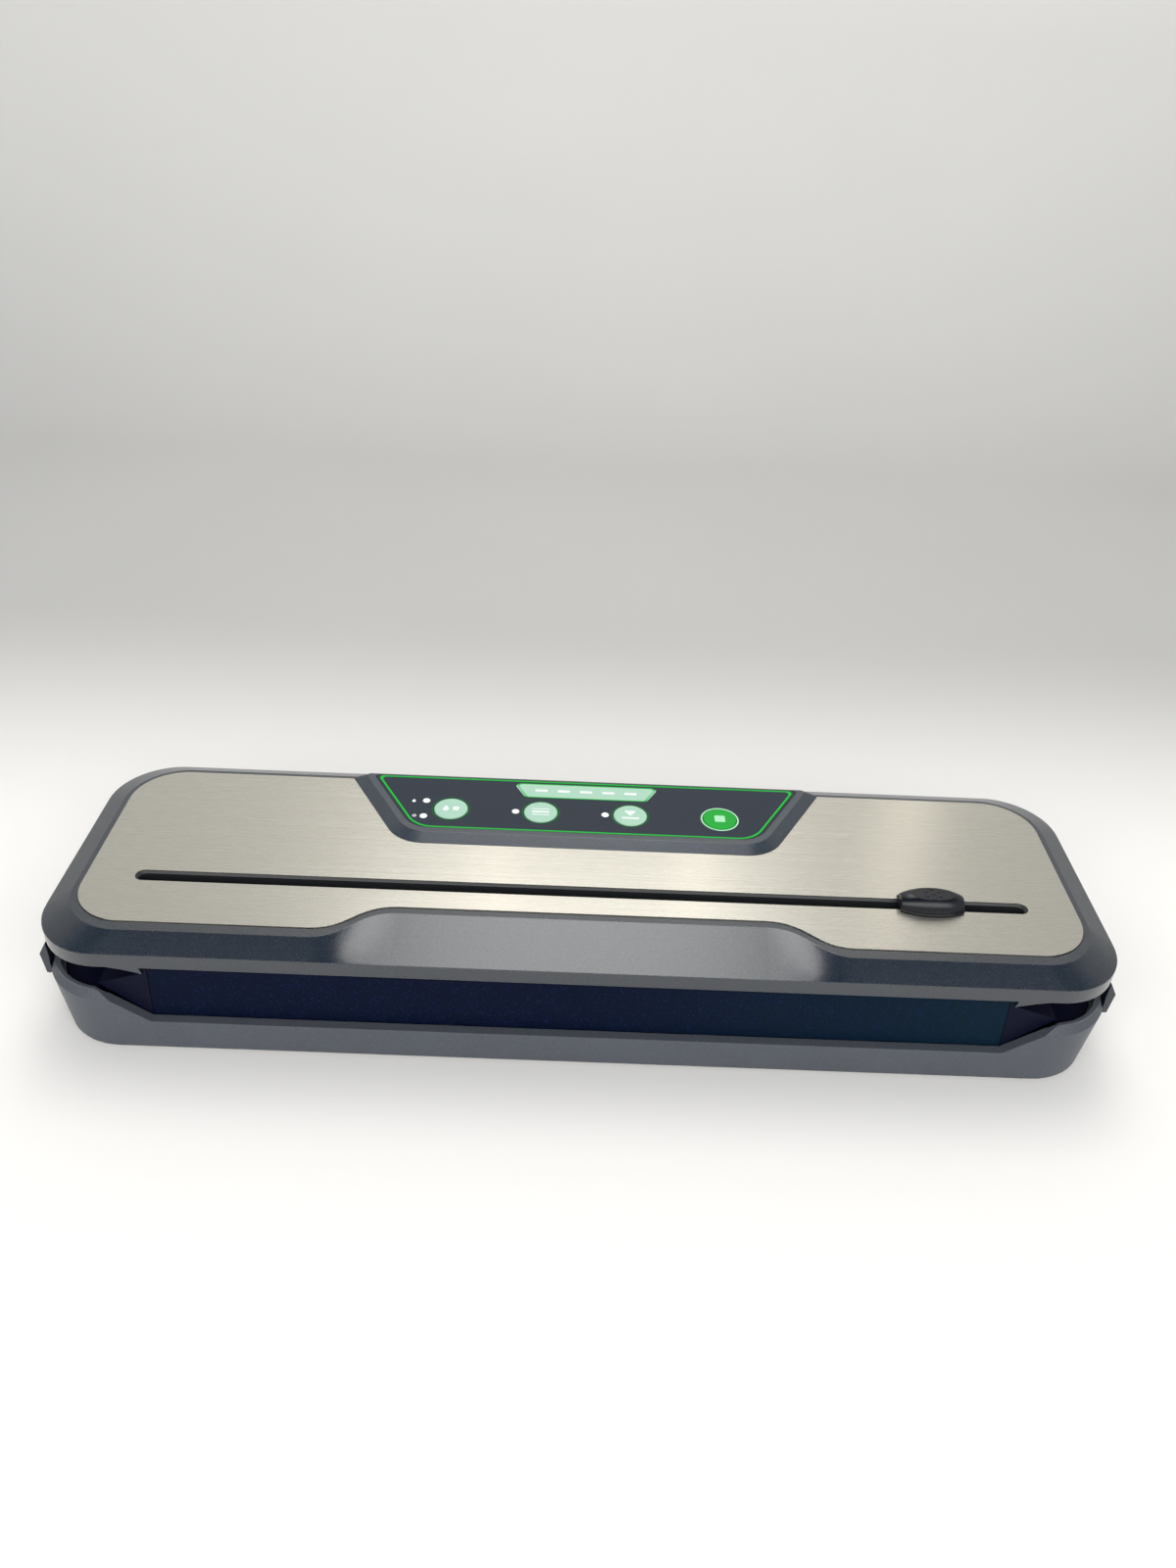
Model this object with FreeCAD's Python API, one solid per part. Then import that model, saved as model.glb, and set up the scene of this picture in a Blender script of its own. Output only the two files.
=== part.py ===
import FreeCAD, Part
import math
import os
from FreeCAD import Vector

os.makedirs("parts", exist_ok=True)

# Countertop vacuum sealer: X to the right, Y to the back, Z up, millimetres.
# The origin is on the supporting surface, under the middle of the front-to-back span.

# ---------------------------------------------------------------- lid
LID_HALF_WIDTH = 194.8
FRONT_Y = -60.0
LID_REAR_Y = 56.0
LID_CORNER_R = 25.0
LIP_BOTTOM_Z = 41.55
LIP_TOP_Z = 47.4
PLATE_TOP_Z = 53.0
PLATE_THICKNESS = 0.8
PLATE_SEAT_Z = PLATE_TOP_Z - PLATE_THICKNESS
BEZEL_Z = PLATE_TOP_Z - 0.5
LID_WALL = 2.5
LID_ROOF_Z = PLATE_SEAT_Z - LID_WALL
LID_EDGE_ROOF_Z = 46.2

BEZEL_HALF_WIDTH = 185.5
BEZEL_FRONT_Y = -52.6
BEZEL_REAR_Y = 46.5
BEZEL_CORNER_R = 22.0
BEZEL_SCOOP = 14.2

PLATE_HALF_WIDTH = 183.3
PLATE_FRONT_Y = -48.2
PLATE_REAR_Y = 44.3
PLATE_CORNER_R = 19.5
PLATE_SCOOP = 12.9
SCOOP_INNER_X = 66.5
SCOOP_OUTER_X = 97.5

LINER_Z = 41.3
LINER_TOP_Z = 43.0
LINER_HALF_WIDTH = 192.0
LINER_FRONT_Y = -57.0
LINER_REAR_Y = 48.0
LINER_CORNER_R = 22.0

# bag cutter
CUTTER_Y = -23.0
SLOT_HALF_LENGTH = 165.5
SLOT_WIDTH = 6.05
RAIL_SLOT_WIDTH = 4.4
KNOB_X = 129.0
KNOB_LENGTH = 23.2
KNOB_WIDTH = 12.5
KNOB_BOTTOM_Z = PLATE_TOP_Z + 0.35
KNOB_HEIGHT = 6.2
KNOB_FLAT_Z = 5.1
KNOB_DOT_RADIUS = 0.75
KNOB_DOT_RISE = 0.35
KNOB_DOT_RING = 2.75

# control pod
POD_FRONT_Y = 2.6
POD_REAR_Y = 46.0
POD_FRONT_HALF = 72.5
POD_SLOPE = 0.578
POD_TOP_Z = 55.2
POD_BEVEL = 4.6
OVERLAY_INSET = 7.4
OVERLAY_REAR_INSET = 1.2
OVERLAY_FLOOR_Z = 54.4
OVERLAY_TOP_Z = 55.0
KEY_PITCH = 36.0
KEY_Y = 22.9
KEY_RADIUS = 6.7
KEY_TOP_Z = 55.35
KEY_NAMES = ["key_mode", "key_seal", "key_vacuum_seal", "key_stop"]
LAMP_RADIUS = 1.45
LAMP_PLACES = [(-64.4, 27.9), (-64.4, 17.5), (-28.1, 22.9), (7.9, 22.9)]
BAR_COUNT = 5
BAR_PITCH = 9.17
BAR_Y = 38.1

# ---------------------------------------------------------------- base
BASE_HALF_WIDTH = 197.2
BASE_LOW_HALF_WIDTH = 193.6
BASE_REAR_Y = 60.0
BASE_FRONT_Y = -59.4
BASE_DRAFT = 0.2
BASE_CORNER_R = 27.0
BASE_LOW_CORNER_R = 25.0
CASE_HALF_WIDTH = 191.0
CASE_FRONT_Y = -55.8
CASE_REAR_Y = 56.8
CASE_CORNER_R = 20.8
MOUTH_SIDE_STEP = 1.6
MOUTH_END_STEP = 0.4
MOUTH_CORNER_R = 22.2
BASE_BOTTOM_Z = 1.5
LEDGE_Z = 14.6
RIM_EDGE_Z = 24.2
RIM_STEP_Z = 26.8
RIM_TOP_Z = 28.0
RIM_BEVEL = 2.0
BAY_HALF_LOW = 155.0
BAY_HALF_HIGH = 173.5
DECK_TOP_Z = 38.0
DECK_WALL = 2.5
DECK_HALF_WIDTH = 178.0
DECK_FRONT_Y = -40.0
DECK_REAR_Y = 47.0
NOSE_HALF = 158.0
NOSE_SHOULDER_Z = 32.8
FACET_Y = -54.6
FLANGE_Z = 23.0
FLANGE_THICKNESS = 2.0
FIT_GAP = 0.3
APRON_FRONT_Y = -55.8
APRON_LEAN = 0.1
APRON_THICKNESS = 1.2
FLOOR_TOP_Z = BASE_BOTTOM_Z + 2.0

CHAMBER_HALF_LENGTH = 155.5
CHAMBER_FRONT_Y = -9.5
CHAMBER_REAR_Y = 20.5
CHAMBER_FLOOR_Z = 24.7
GASKET_HALF_LENGTH = 166.0
GASKET_FRONT_Y = -16.5
GASKET_REAR_Y = 27.5
GASKET_WIDTH = 4.0
GASKET_FLOOR_Z = 36.5
GASKET_TOP_Z = 40.0
SEAL_FRONT_Y = -51.1
SEAL_REAR_Y = -40.5
SEAL_HALF_LENGTH = 152.3
SEAL_FLOOR_Z = 34.0

# hinge
HINGE_Y = 53.0
HINGE_Z = 38.0
HINGE_X = 120.0
PIN_RADIUS = 1.5
KNUCKLE_RADIUS = 4.0
KNUCKLE_HALF = 3.6
EAR_GAP = 0.4
EAR_WIDTH = 4.0
EAR_RADIUS = 4.2
SPINE_TOP_Z = 35.0

# side latches, written for the right-hand side and mirrored
LATCH_PIVOT_X = 184.0
LATCH_POCKET_X = 194.2
LATCH_POCKET_Z = 20.2
LATCH_PIVOT_Z = 20.0
LATCH_LEVER_Y = (-28.0, -12.0)
LATCH_BUTTON_Y = (-43.0, -8.0)
LATCH_SPRING_Y = -20.0
LATCH_SPRING_Z = 31.0
LATCH_EARS_Y = ((-33.5, -30.5), (-9.5, -6.5))
STRIKER_Y = (-27.0, -13.0)
SWITCH_X = 170.5
SWITCH_Y = 29.0

# electrics
INLET_X = 150.0
INLET_Z = 14.0
INLET_PIN_SPACING = 8.6
PUMP_AXIS_Y = 36.5
PUMP_AXIS_Z = 15.5
PORT_X = -118.0
PORT_Y = 8.0
HOSE_Z = 11.0
HOSE_RADIUS = 2.5
HOSE_BEND = 13.0
HOSE_TURN_X = -156.0
PUMP_X = (-148.0, -122.0)
PUMP_Y = (25.5, 44.0)
PUMP_TOP_Z = 30.0
MOTOR_RADIUS = 10.5
MOTOR_LENGTH = 34.0
MOUNT_Z = 5.0
BOARD_TOP_Z = 8.6

# fasteners and feet
BASE_SCREWS = [(x, -52.6) for x in (-140, -47, 47, 140)] + [(-70, 53.5), (70, 53.5), (-187.6, 25), (187.6, 25)]
BOSS_RADIUS = 4.0
LID_SCREWS = [(x, -50) for x in (-130, -60, 60, 130)] + [(-176, -27), (176, -27)]
LID_SCREWS += [(-172, 34), (172, 34), (-100, 38), (100, 38)]
SCREW_HEAD_HEIGHT = 1.2
CROSS_HALF = 1.5
CROSS_WIDTH = 0.6
FEET = [(x, y) for x in (-160, 160) for y in (-42, 43)]
FOOT_RADIUS = 7.0
FOOT_PEG_RADIUS = 2.5
VENT_CENTRES_X = (-103, 75)
VENT_FIRST_Y = 20.0
VENT_PITCH = 3.4
VENT_COUNT = 9
VENT_HALF_LENGTH = 14.0
VENT_WIDTH = 1.6

X_AXIS = Vector(1, 0, 0)
Y_AXIS = Vector(0, 1, 0)
Z_AXIS = Vector(0, 0, 1)


# ---------------------------------------------------------------- helpers
def save(name, shape):
    shape.exportStep("parts/" + name + ".step")
    if not shape.isValid():
        print("NOT VALID", name)
    print(name, len(shape.Solids), round(shape.Volume, 1))


def box(x0, x1, y0, y1, z0, z1):
    return Part.makeBox(x1 - x0, y1 - y0, z1 - z0, Vector(x0, y0, z0))


def mirrored_box(x0, x1, y0, y1, z0, z1):
    """The same box on the left and on the right."""
    return Part.makeCompound([box(x0, x1, y0, y1, z0, z1), box(-x1, -x0, y0, y1, z0, z1)])


def rod(x, y, z, radius, length, axis):
    return Part.makeCylinder(radius, length, Vector(x, y, z), axis)


def left_of(shape):
    """Mirror image of a right-hand shape."""
    return shape.mirror(Vector(0, 0, 0), X_AXIS)


def pair(shape):
    return Part.makeCompound([left_of(shape), shape])


def fuse_all(shapes):
    return shapes[0].multiFuse(shapes[1:]).removeSplitter()


def cut_all(shape, tools):
    return shape.cut(tools).removeSplitter()


def rounded_edges(points, radii, z):
    """Closed outline through the corner points, each corner rounded by its radius."""
    count = len(points)
    starts = []
    middles = []
    ends = []
    for i in range(count):
        corner = Vector(points[i][0], points[i][1], z)
        back = (Vector(points[i - 1][0], points[i - 1][1], z) - corner).normalize()
        ahead = (Vector(points[(i + 1) % count][0], points[(i + 1) % count][1], z) - corner).normalize()
        half = back.getAngle(ahead) / 2
        reach = radii[i] / math.tan(half)
        bisector = back + ahead
        depth = radii[i] / math.sin(half) - radii[i]
        starts.append(corner + back * reach)
        ends.append(corner + ahead * reach)
        middles.append(corner + bisector.normalize() * depth if radii[i] > 0 else corner)
    edges = []
    for i in range(count):
        if radii[i] > 0:
            edges.append(Part.Arc(starts[i], middles[i], ends[i]).toShape())
        edges.append(Part.LineSegment(ends[i], starts[(i + 1) % count]).toShape())
    return edges


def rounded_wire(points, radii, z):
    return Part.Wire(rounded_edges(points, radii, z))


def prism(points, radii, z0, z1):
    return Part.Face(rounded_wire(points, radii, z0)).extrude(Vector(0, 0, z1 - z0))


def taper(points0, radii0, z0, points1, radii1, z1):
    return Part.makeLoft([rounded_wire(points0, radii0, z0), rounded_wire(points1, radii1, z1)], True, True)


def rectangle(half, y0, y1):
    return [(-half, y0), (half, y0), (half, y1), (-half, y1)]


def slab(half, y0, y1, radius, z0, z1):
    """Rounded rectangular block, symmetric left to right."""
    return prism(rectangle(half, y0, y1), [radius] * 4, z0, z1)


def ring(half, y0, y1, radius, width, z0, z1):
    inner = slab(half - width, y0 + width, y1 - width, radius - width / 2, z0, z1)
    return slab(half, y0, y1, radius, z0, z1).cut(inner)


def front_prism(points, y0, y1):
    """Outline in X and Z, extruded to the back."""
    corners = [Vector(x, y0, z) for x, z in points]
    return Part.Face(Part.makePolygon(corners + corners[:1])).extrude(Vector(0, y1 - y0, 0))


def side_prism(points, x0, x1):
    """Outline in Y and Z, extruded to the right."""
    corners = [Vector(x0, y, z) for y, z in points]
    return Part.Face(Part.makePolygon(corners + corners[:1])).extrude(Vector(x1 - x0, 0, 0))


def obround(x, y, half_length, width, z0, z1):
    """Slot shape with round ends, along X."""
    r = width / 2
    x0 = x - half_length
    x1 = x + half_length
    corners = [(x0, y - r), (x1, y - r), (x1, y + r), (x0, y + r)]
    return prism(corners, [r - 0.001] * 4, z0, z1)


def s_curve(x0, y0, x1, y1, z):
    """Smooth step between two points, level at both ends."""
    middle = (x0 + x1) / 2
    curve = Part.BezierCurve()
    curve.setPoles([Vector(x0, y0, z), Vector(middle, y0, z), Vector(middle, y1, z), Vector(x1, y1, z)])
    return curve.toShape()


def lid_wire(half, y0, y1, radius, scoop, z):
    """Outline of the lid whose front edge steps back by scoop in the middle."""
    corners = rounded_edges(rectangle(half, y0, y1), [radius] * 4, z)
    front_start = corners[1].Vertexes[0].Point
    front_end = corners[1].Vertexes[1].Point
    inner = y0 + scoop
    front = [
        Part.LineSegment(front_start, Vector(-SCOOP_OUTER_X, y0, z)).toShape(),
        s_curve(-SCOOP_OUTER_X, y0, -SCOOP_INNER_X, inner, z),
        Part.LineSegment(Vector(-SCOOP_INNER_X, inner, z), Vector(SCOOP_INNER_X, inner, z)).toShape(),
        s_curve(SCOOP_INNER_X, inner, SCOOP_OUTER_X, y0, z),
        Part.LineSegment(Vector(SCOOP_OUTER_X, y0, z), front_end).toShape(),
    ]
    return Part.Wire([corners[0]] + front + corners[2:])


def pod_outline(inset, rear_inset):
    """Corner points and radii of the control pod, moved inwards by inset, and by rear_inset at the back."""
    side = inset * math.hypot(1, POD_SLOPE)
    y0 = POD_FRONT_Y + inset
    y1 = POD_REAR_Y - rear_inset
    half0 = POD_FRONT_HALF + POD_SLOPE * (y0 - POD_FRONT_Y) - side
    half1 = POD_FRONT_HALF + POD_SLOPE * (y1 - POD_FRONT_Y) - side
    corners = [(-half0, y0), (half0, y0), (half1, y1), (-half1, y1)]
    front_radius = 16.0 - 0.6 * inset
    rear_radius = 1.5
    return corners, [front_radius, front_radius, rear_radius, rear_radius]


def key_places():
    return [(KEY_PITCH * (i - 1.5), KEY_Y) for i in range(len(KEY_NAMES))]


# ---------------------------------------------------------------- base
def case_slab(gap, z0, z1):
    """Fills the hollow of the case between two heights, with a gap to its walls."""
    return slab(CASE_HALF_WIDTH - gap, CASE_FRONT_Y + gap, CASE_REAR_Y - gap, CASE_CORNER_R - gap, z0, z1)


def base_shell():
    low = rectangle(BASE_LOW_HALF_WIDTH, BASE_FRONT_Y + BASE_DRAFT, BASE_REAR_Y - BASE_DRAFT)
    high = rectangle(BASE_HALF_WIDTH, BASE_FRONT_Y, BASE_REAR_Y)
    top = rectangle(BASE_HALF_WIDTH - RIM_BEVEL, BASE_FRONT_Y + RIM_BEVEL, BASE_REAR_Y - RIM_BEVEL)
    top_r = BASE_CORNER_R - RIM_BEVEL
    outer = fuse_all([
        taper(low, [BASE_LOW_CORNER_R] * 4, BASE_BOTTOM_Z, high, [BASE_CORNER_R] * 4, RIM_EDGE_Z),
        taper(high, [BASE_CORNER_R] * 4, RIM_EDGE_Z, top, [top_r] * 4, RIM_STEP_Z),
        prism(top, [top_r] * 4, RIM_STEP_Z, RIM_TOP_Z),
    ])
    hollow = case_slab(0, BASE_BOTTOM_Z - 1, RIM_TOP_Z + 1)
    mouth = slab(CASE_HALF_WIDTH + MOUTH_SIDE_STEP, CASE_FRONT_Y - MOUTH_END_STEP, CASE_REAR_Y + MOUTH_END_STEP,
                 MOUTH_CORNER_R, FLANGE_Z + FLANGE_THICKNESS, RIM_TOP_Z + 1)
    above = RIM_TOP_Z + 2
    bay = front_prism([(-BAY_HALF_LOW, LEDGE_Z), (-BAY_HALF_HIGH, RIM_TOP_Z), (-BAY_HALF_HIGH, above),
                       (BAY_HALF_HIGH, above), (BAY_HALF_HIGH, RIM_TOP_Z), (BAY_HALF_LOW, LEDGE_Z)],
                      BASE_FRONT_Y - 3, BASE_FRONT_Y + 15)
    shell = cut_all(outer, [hollow, mouth, bay])
    spine = box(-152, 152, 49, 57, RIM_EDGE_Z - 1, SPINE_TOP_Z)
    spine = spine.fuse(box(-152, 152, 55, CASE_REAR_Y + 1, RIM_EDGE_Z - 1, RIM_STEP_Z - 1))
    spine = spine.cut(box(-149.5, 149.5, 51.5, 54.5, RIM_EDGE_Z - 2, SPINE_TOP_Z - 2.5))
    knuckle_room = []
    ears = []
    for side in (-1, 1):
        room_half = KNUCKLE_HALF + EAR_GAP
        x = side * HINGE_X
        room_radius = KNUCKLE_RADIUS + 0.6
        knuckle_room.append(rod(x - room_half, HINGE_Y, HINGE_Z, room_radius, 2 * room_half, X_AXIS))
        for end in (-1, 1):
            ear_x = x + end * (room_half + EAR_WIDTH / 2) - EAR_WIDTH / 2
            ear = box(ear_x, ear_x + EAR_WIDTH, HINGE_Y - 4, HINGE_Y + 4, SPINE_TOP_Z - 3, HINGE_Z)
            ears.append(ear.fuse(rod(ear_x, HINGE_Y, HINGE_Z, EAR_RADIUS, EAR_WIDTH, X_AXIS)))
    bosses = []
    bores = []
    for x, y in BASE_SCREWS:
        bosses.append(rod(x, y, FLOOR_TOP_Z, BOSS_RADIUS, LEDGE_Z - 1.1 - FLOOR_TOP_Z, Z_AXIS))
        bores.append(rod(x, y, FLOOR_TOP_Z - 1, 1.35, 10, Z_AXIS))
    for side in (-1, 1):
        for y0, y1 in LATCH_EARS_Y:
            x0, x1 = sorted((side * 180.5, side * (CASE_HALF_WIDTH + 0.7)))
            bosses.append(box(x0, x1, y0, y1, FLOOR_TOP_Z, FLANGE_Z - 0.2))
    shell = fuse_all([shell, spine] + ears + bosses)
    for side in (-1, 1):
        bores.append(rod(side * LATCH_PIVOT_X, -34, LATCH_PIVOT_Z, PIN_RADIUS + 0.01, 28, Y_AXIS))
        bores.append(rod(side * HINGE_X - 12, HINGE_Y, HINGE_Z, PIN_RADIUS + 0.01, 24, X_AXIS))
    latch_notches = mirrored_box(180, 200, LATCH_LEVER_Y[0] - 1.2, LATCH_BUTTON_Y[1] + 1.2, 24.8, 32)
    pockets = mirrored_box(LATCH_POCKET_X, 200, LATCH_BUTTON_Y[0] - 1, LATCH_BUTTON_Y[1] + 1.2,
                           LATCH_POCKET_Z, 32)
    inlet = box(INLET_X - 10, INLET_X + 10, 50, 62, INLET_Z - 5.5, INLET_Z + 5.5)
    return cut_all(shell, bores + knuckle_room + [latch_notches, pockets, inlet])


def bottom_plate():
    plate = case_slab(FIT_GAP, BASE_BOTTOM_Z, FLOOR_TOP_Z)
    tools = []
    for x, y in BASE_SCREWS:
        tools.append(rod(x, y, BASE_BOTTOM_Z - 1, 1.5, 5, Z_AXIS))
        tools.append(rod(x, y, BASE_BOTTOM_Z - 1, 2.9, 2.3, Z_AXIS))
    for x, y in FEET:
        tools.append(rod(x, y, BASE_BOTTOM_Z - 1, FOOT_PEG_RADIUS, 5, Z_AXIS))
    for x in VENT_CENTRES_X:
        for i in range(VENT_COUNT):
            tools.append(obround(x, VENT_FIRST_Y + i * VENT_PITCH, VENT_HALF_LENGTH, VENT_WIDTH,
                                 BASE_BOTTOM_Z - 1, FLOOR_TOP_Z + 1))
    return cut_all(plate, tools)


def rubber_feet():
    feet = []
    for x, y in FEET:
        pad = rod(x, y, 0, FOOT_RADIUS, BASE_BOTTOM_Z, Z_AXIS)
        peg = rod(x, y, BASE_BOTTOM_Z, FOOT_PEG_RADIUS, FLOOR_TOP_Z - BASE_BOTTOM_Z, Z_AXIS)
        feet.append(pad.fuse(peg).removeSplitter())
    return Part.makeCompound(feet)


def screws(places, head_z, head_radius, head_height, shaft_radius, shaft_length):
    """Pan-head screws pointing up, with a cross recess in each head."""
    made = []
    for x, y in places:
        head = rod(x, y, head_z, head_radius, head_height, Z_AXIS)
        shaft = rod(x, y, head_z + head_height, shaft_radius, shaft_length, Z_AXIS)
        long = CROSS_HALF
        thin = CROSS_WIDTH / 2
        cross = [box(x - long, x + long, y - thin, y + thin, head_z - 0.1, head_z + CROSS_WIDTH),
                 box(x - thin, x + thin, y - long, y + long, head_z - 0.1, head_z + CROSS_WIDTH)]
        made.append(head.fuse(shaft).cut(cross).removeSplitter())
    return Part.makeCompound(made)


def apron_y(z):
    return APRON_FRONT_Y + APRON_LEAN * (z - LEDGE_Z)


def front_apron():
    low_z = LEDGE_Z + 0.1
    outline = [(apron_y(low_z), low_z), (apron_y(low_z) + APRON_THICKNESS, low_z),
               (apron_y(DECK_TOP_Z) + APRON_THICKNESS, DECK_TOP_Z), (apron_y(DECK_TOP_Z), DECK_TOP_Z)]
    return side_prism(outline, -BAY_HALF_LOW + 0.2, BAY_HALF_LOW - 0.2)


def base_deck():
    gap = 0.3
    outline = [(-BAY_HALF_LOW + gap, LEDGE_Z + 0.1), (BAY_HALF_LOW - gap, LEDGE_Z + 0.1),
               (BAY_HALF_HIGH - gap, RIM_TOP_Z), (NOSE_HALF, NOSE_SHOULDER_Z), (NOSE_HALF, DECK_TOP_Z),
               (-NOSE_HALF, DECK_TOP_Z), (-NOSE_HALF, NOSE_SHOULDER_Z), (-BAY_HALF_HIGH + gap, RIM_TOP_Z)]
    nose = front_prism(outline, APRON_FRONT_Y - 0.5, DECK_FRONT_Y + 2.5)
    lean = side_prism([(apron_y(LEDGE_Z), LEDGE_Z), (0, LEDGE_Z), (0, DECK_TOP_Z),
                       (apron_y(DECK_TOP_Z), DECK_TOP_Z)], -180, 180)
    plan = prism([(-BAY_HALF_LOW, APRON_FRONT_Y - 0.5), (BAY_HALF_LOW, APRON_FRONT_Y - 0.5), (175, FACET_Y),
                  (175, 0), (-175, 0), (-175, FACET_Y)], [0] * 6, LEDGE_Z, DECK_TOP_Z)
    nose = nose.common(lean).common(plan)
    main = slab(DECK_HALF_WIDTH, DECK_FRONT_Y, DECK_REAR_Y, 18, FLANGE_Z, DECK_TOP_Z)
    flange = case_slab(FIT_GAP, FLANGE_Z, FLANGE_Z + FLANGE_THICKNESS)
    bay_room = box(-BAY_HALF_HIGH - 0.1, BAY_HALF_HIGH + 0.1, -60, -45, 20, 30)
    spine_room = box(-152.5, 152.5, 48.5, 60, 20, 30)
    flange = flange.cut([bay_room, spine_room])
    deck = fuse_all([nose, main, flange])
    under_z = DECK_TOP_Z - DECK_WALL
    hollow = slab(DECK_HALF_WIDTH - DECK_WALL, DECK_FRONT_Y + DECK_WALL, DECK_REAR_Y - DECK_WALL, 15.5,
                  FLANGE_Z - 3, under_z)
    inner = NOSE_HALF - DECK_WALL
    nose_hollow = front_prism([(-150, LEDGE_Z - 1), (150, LEDGE_Z - 1), (167, 26.5), (inner, 30), (inner, under_z),
                               (-inner, under_z), (-inner, 30), (-167, 26.5)], -50.3, DECK_FRONT_Y + 3)
    deck = deck.cut([hollow, nose_hollow])
    wall = DECK_WALL
    well_half = CHAMBER_HALF_LENGTH + wall
    well_floor_z = CHAMBER_FLOOR_Z - wall
    deck = fuse_all([deck,
                     box(-well_half, well_half, CHAMBER_FRONT_Y - wall, CHAMBER_REAR_Y + wall,
                         well_floor_z, DECK_TOP_Z),
                     box(-172.5, 172.5, CUTTER_Y - 5, CUTTER_Y + 5, 31, DECK_TOP_Z),
                     box(-154.5, 154.5, SEAL_FRONT_Y - 1, SEAL_REAR_Y + 2, SEAL_FLOOR_Z - 2, DECK_TOP_Z)])
    tools = [
        box(-CHAMBER_HALF_LENGTH, CHAMBER_HALF_LENGTH, CHAMBER_FRONT_Y, CHAMBER_REAR_Y, CHAMBER_FLOOR_Z, 40),
        box(-170, 170, CUTTER_Y - 2.5, CUTTER_Y + 2.5, 33.5, 40),
        box(-SEAL_HALF_LENGTH, SEAL_HALF_LENGTH, SEAL_FRONT_Y, SEAL_REAR_Y, SEAL_FLOOR_Z, 40),
        ring(GASKET_HALF_LENGTH, GASKET_FRONT_Y, GASKET_REAR_Y, 8, GASKET_WIDTH, GASKET_FLOOR_Z, 40),
        mirrored_box(180.6, 188.5, -31, LATCH_BUTTON_Y[1] + 1.2, FLANGE_Z - 1, RIM_TOP_Z + 1),
        rod(PORT_X, PORT_Y, CHAMBER_FLOOR_Z - 4, 3.05, 6, Z_AXIS),
        rod(SWITCH_X, SWITCH_Y, 30, 1.6, 10, Z_AXIS),
        side_prism([(-60, LEDGE_Z), (apron_y(LEDGE_Z) + APRON_THICKNESS, LEDGE_Z),
                    (apron_y(DECK_TOP_Z) + APRON_THICKNESS, DECK_TOP_Z), (-60, DECK_TOP_Z)],
                   -BAY_HALF_LOW + 0.1, BAY_HALF_LOW - 0.1),
    ]
    return cut_all(deck, tools)


def chamber_tray():
    gap = 0.2
    outer = slab(CHAMBER_HALF_LENGTH - gap, CHAMBER_FRONT_Y + gap, CHAMBER_REAR_Y - gap, 3,
                 CHAMBER_FLOOR_Z, DECK_TOP_Z - 0.6)
    inner = slab(CHAMBER_HALF_LENGTH - gap - 1.2, CHAMBER_FRONT_Y + gap + 1.2, CHAMBER_REAR_Y - gap - 1.2, 2,
                 CHAMBER_FLOOR_Z + 1.2, DECK_TOP_Z)
    return cut_all(outer, [inner, rod(PORT_X, PORT_Y, CHAMBER_FLOOR_Z - 4, 3.05, 6, Z_AXIS)])


def chamber_port():
    pipe = rod(PORT_X, PORT_Y, HOSE_Z, 3, 20, Z_AXIS)
    elbow = rod(PORT_X, PORT_Y, HOSE_Z, 2.5, 8, Vector(-1, 0, 0))
    knee = Part.makeSphere(3, Vector(PORT_X, PORT_Y, HOSE_Z))
    bore = rod(PORT_X, PORT_Y, HOSE_Z, 1.6, 30, Z_AXIS)
    side_bore = rod(PORT_X, PORT_Y, HOSE_Z, 1.6, 10, Vector(-1, 0, 0))
    return cut_all(pipe.multiFuse([elbow, knee]), [bore, side_bore])


def hose_solid(radius):
    """Straight run from the port, then half a turn back to the pump."""
    start_x = PORT_X - 8
    run = rod(HOSE_TURN_X, PORT_Y, HOSE_Z, radius, start_x - HOSE_TURN_X, X_AXIS)
    turn = Part.makeTorus(HOSE_BEND, radius, Vector(HOSE_TURN_X, PORT_Y + HOSE_BEND, HOSE_Z), Z_AXIS)
    half = box(HOSE_TURN_X - 30, HOSE_TURN_X, PORT_Y - 10, PORT_Y + 40, 0, 30)
    return run.fuse(turn.common(half)).removeSplitter()


def pump_body():
    head_y = PORT_Y + 2 * HOSE_BEND
    x0, x1 = PUMP_X
    y0, y1 = PUMP_Y
    block = box(x0, x1, y0, y1, MOUNT_Z, PUMP_TOP_Z)
    cover = prism([(x0, y0 - 0.7), (x1 - 4, y0 - 0.7), (x1 - 4, y1 + 0.2), (x0, y1 + 0.2)], [3] * 4,
                  PUMP_TOP_Z, PUMP_TOP_Z + 3)
    nozzle = rod(HOSE_TURN_X, head_y, HOSE_Z, HOSE_RADIUS, x0 - HOSE_TURN_X, X_AXIS)
    foot = box(x0 - 1, x1 + 1, y0 - 1.5, y1 + 2, MOUNT_Z - 1, MOUNT_Z)
    grooves = [box(x0 - 1, x1 + 1, y, y + 1.2, 24, 28) for y in (y0 - 0.5, y1 - 0.7)]
    return cut_all(fuse_all([block, cover, nozzle, foot]), grooves)


def pump_motor():
    can_end = PUMP_X[1] + MOTOR_LENGTH
    cap_end = can_end + 3
    can = rod(PUMP_X[1], PUMP_AXIS_Y, PUMP_AXIS_Z, MOTOR_RADIUS, MOTOR_LENGTH, X_AXIS)
    cap = rod(can_end, PUMP_AXIS_Y, PUMP_AXIS_Z, MOTOR_RADIUS - 2, 3, X_AXIS)
    hub = rod(cap_end, PUMP_AXIS_Y, PUMP_AXIS_Z, 3.5, 3, X_AXIS)
    tabs = [box(cap_end, cap_end + 4, PUMP_AXIS_Y + y - 0.3, PUMP_AXIS_Y + y + 0.3, 14, 18) for y in (-6, 6)]
    return fuse_all([can, cap, hub] + tabs)


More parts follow.
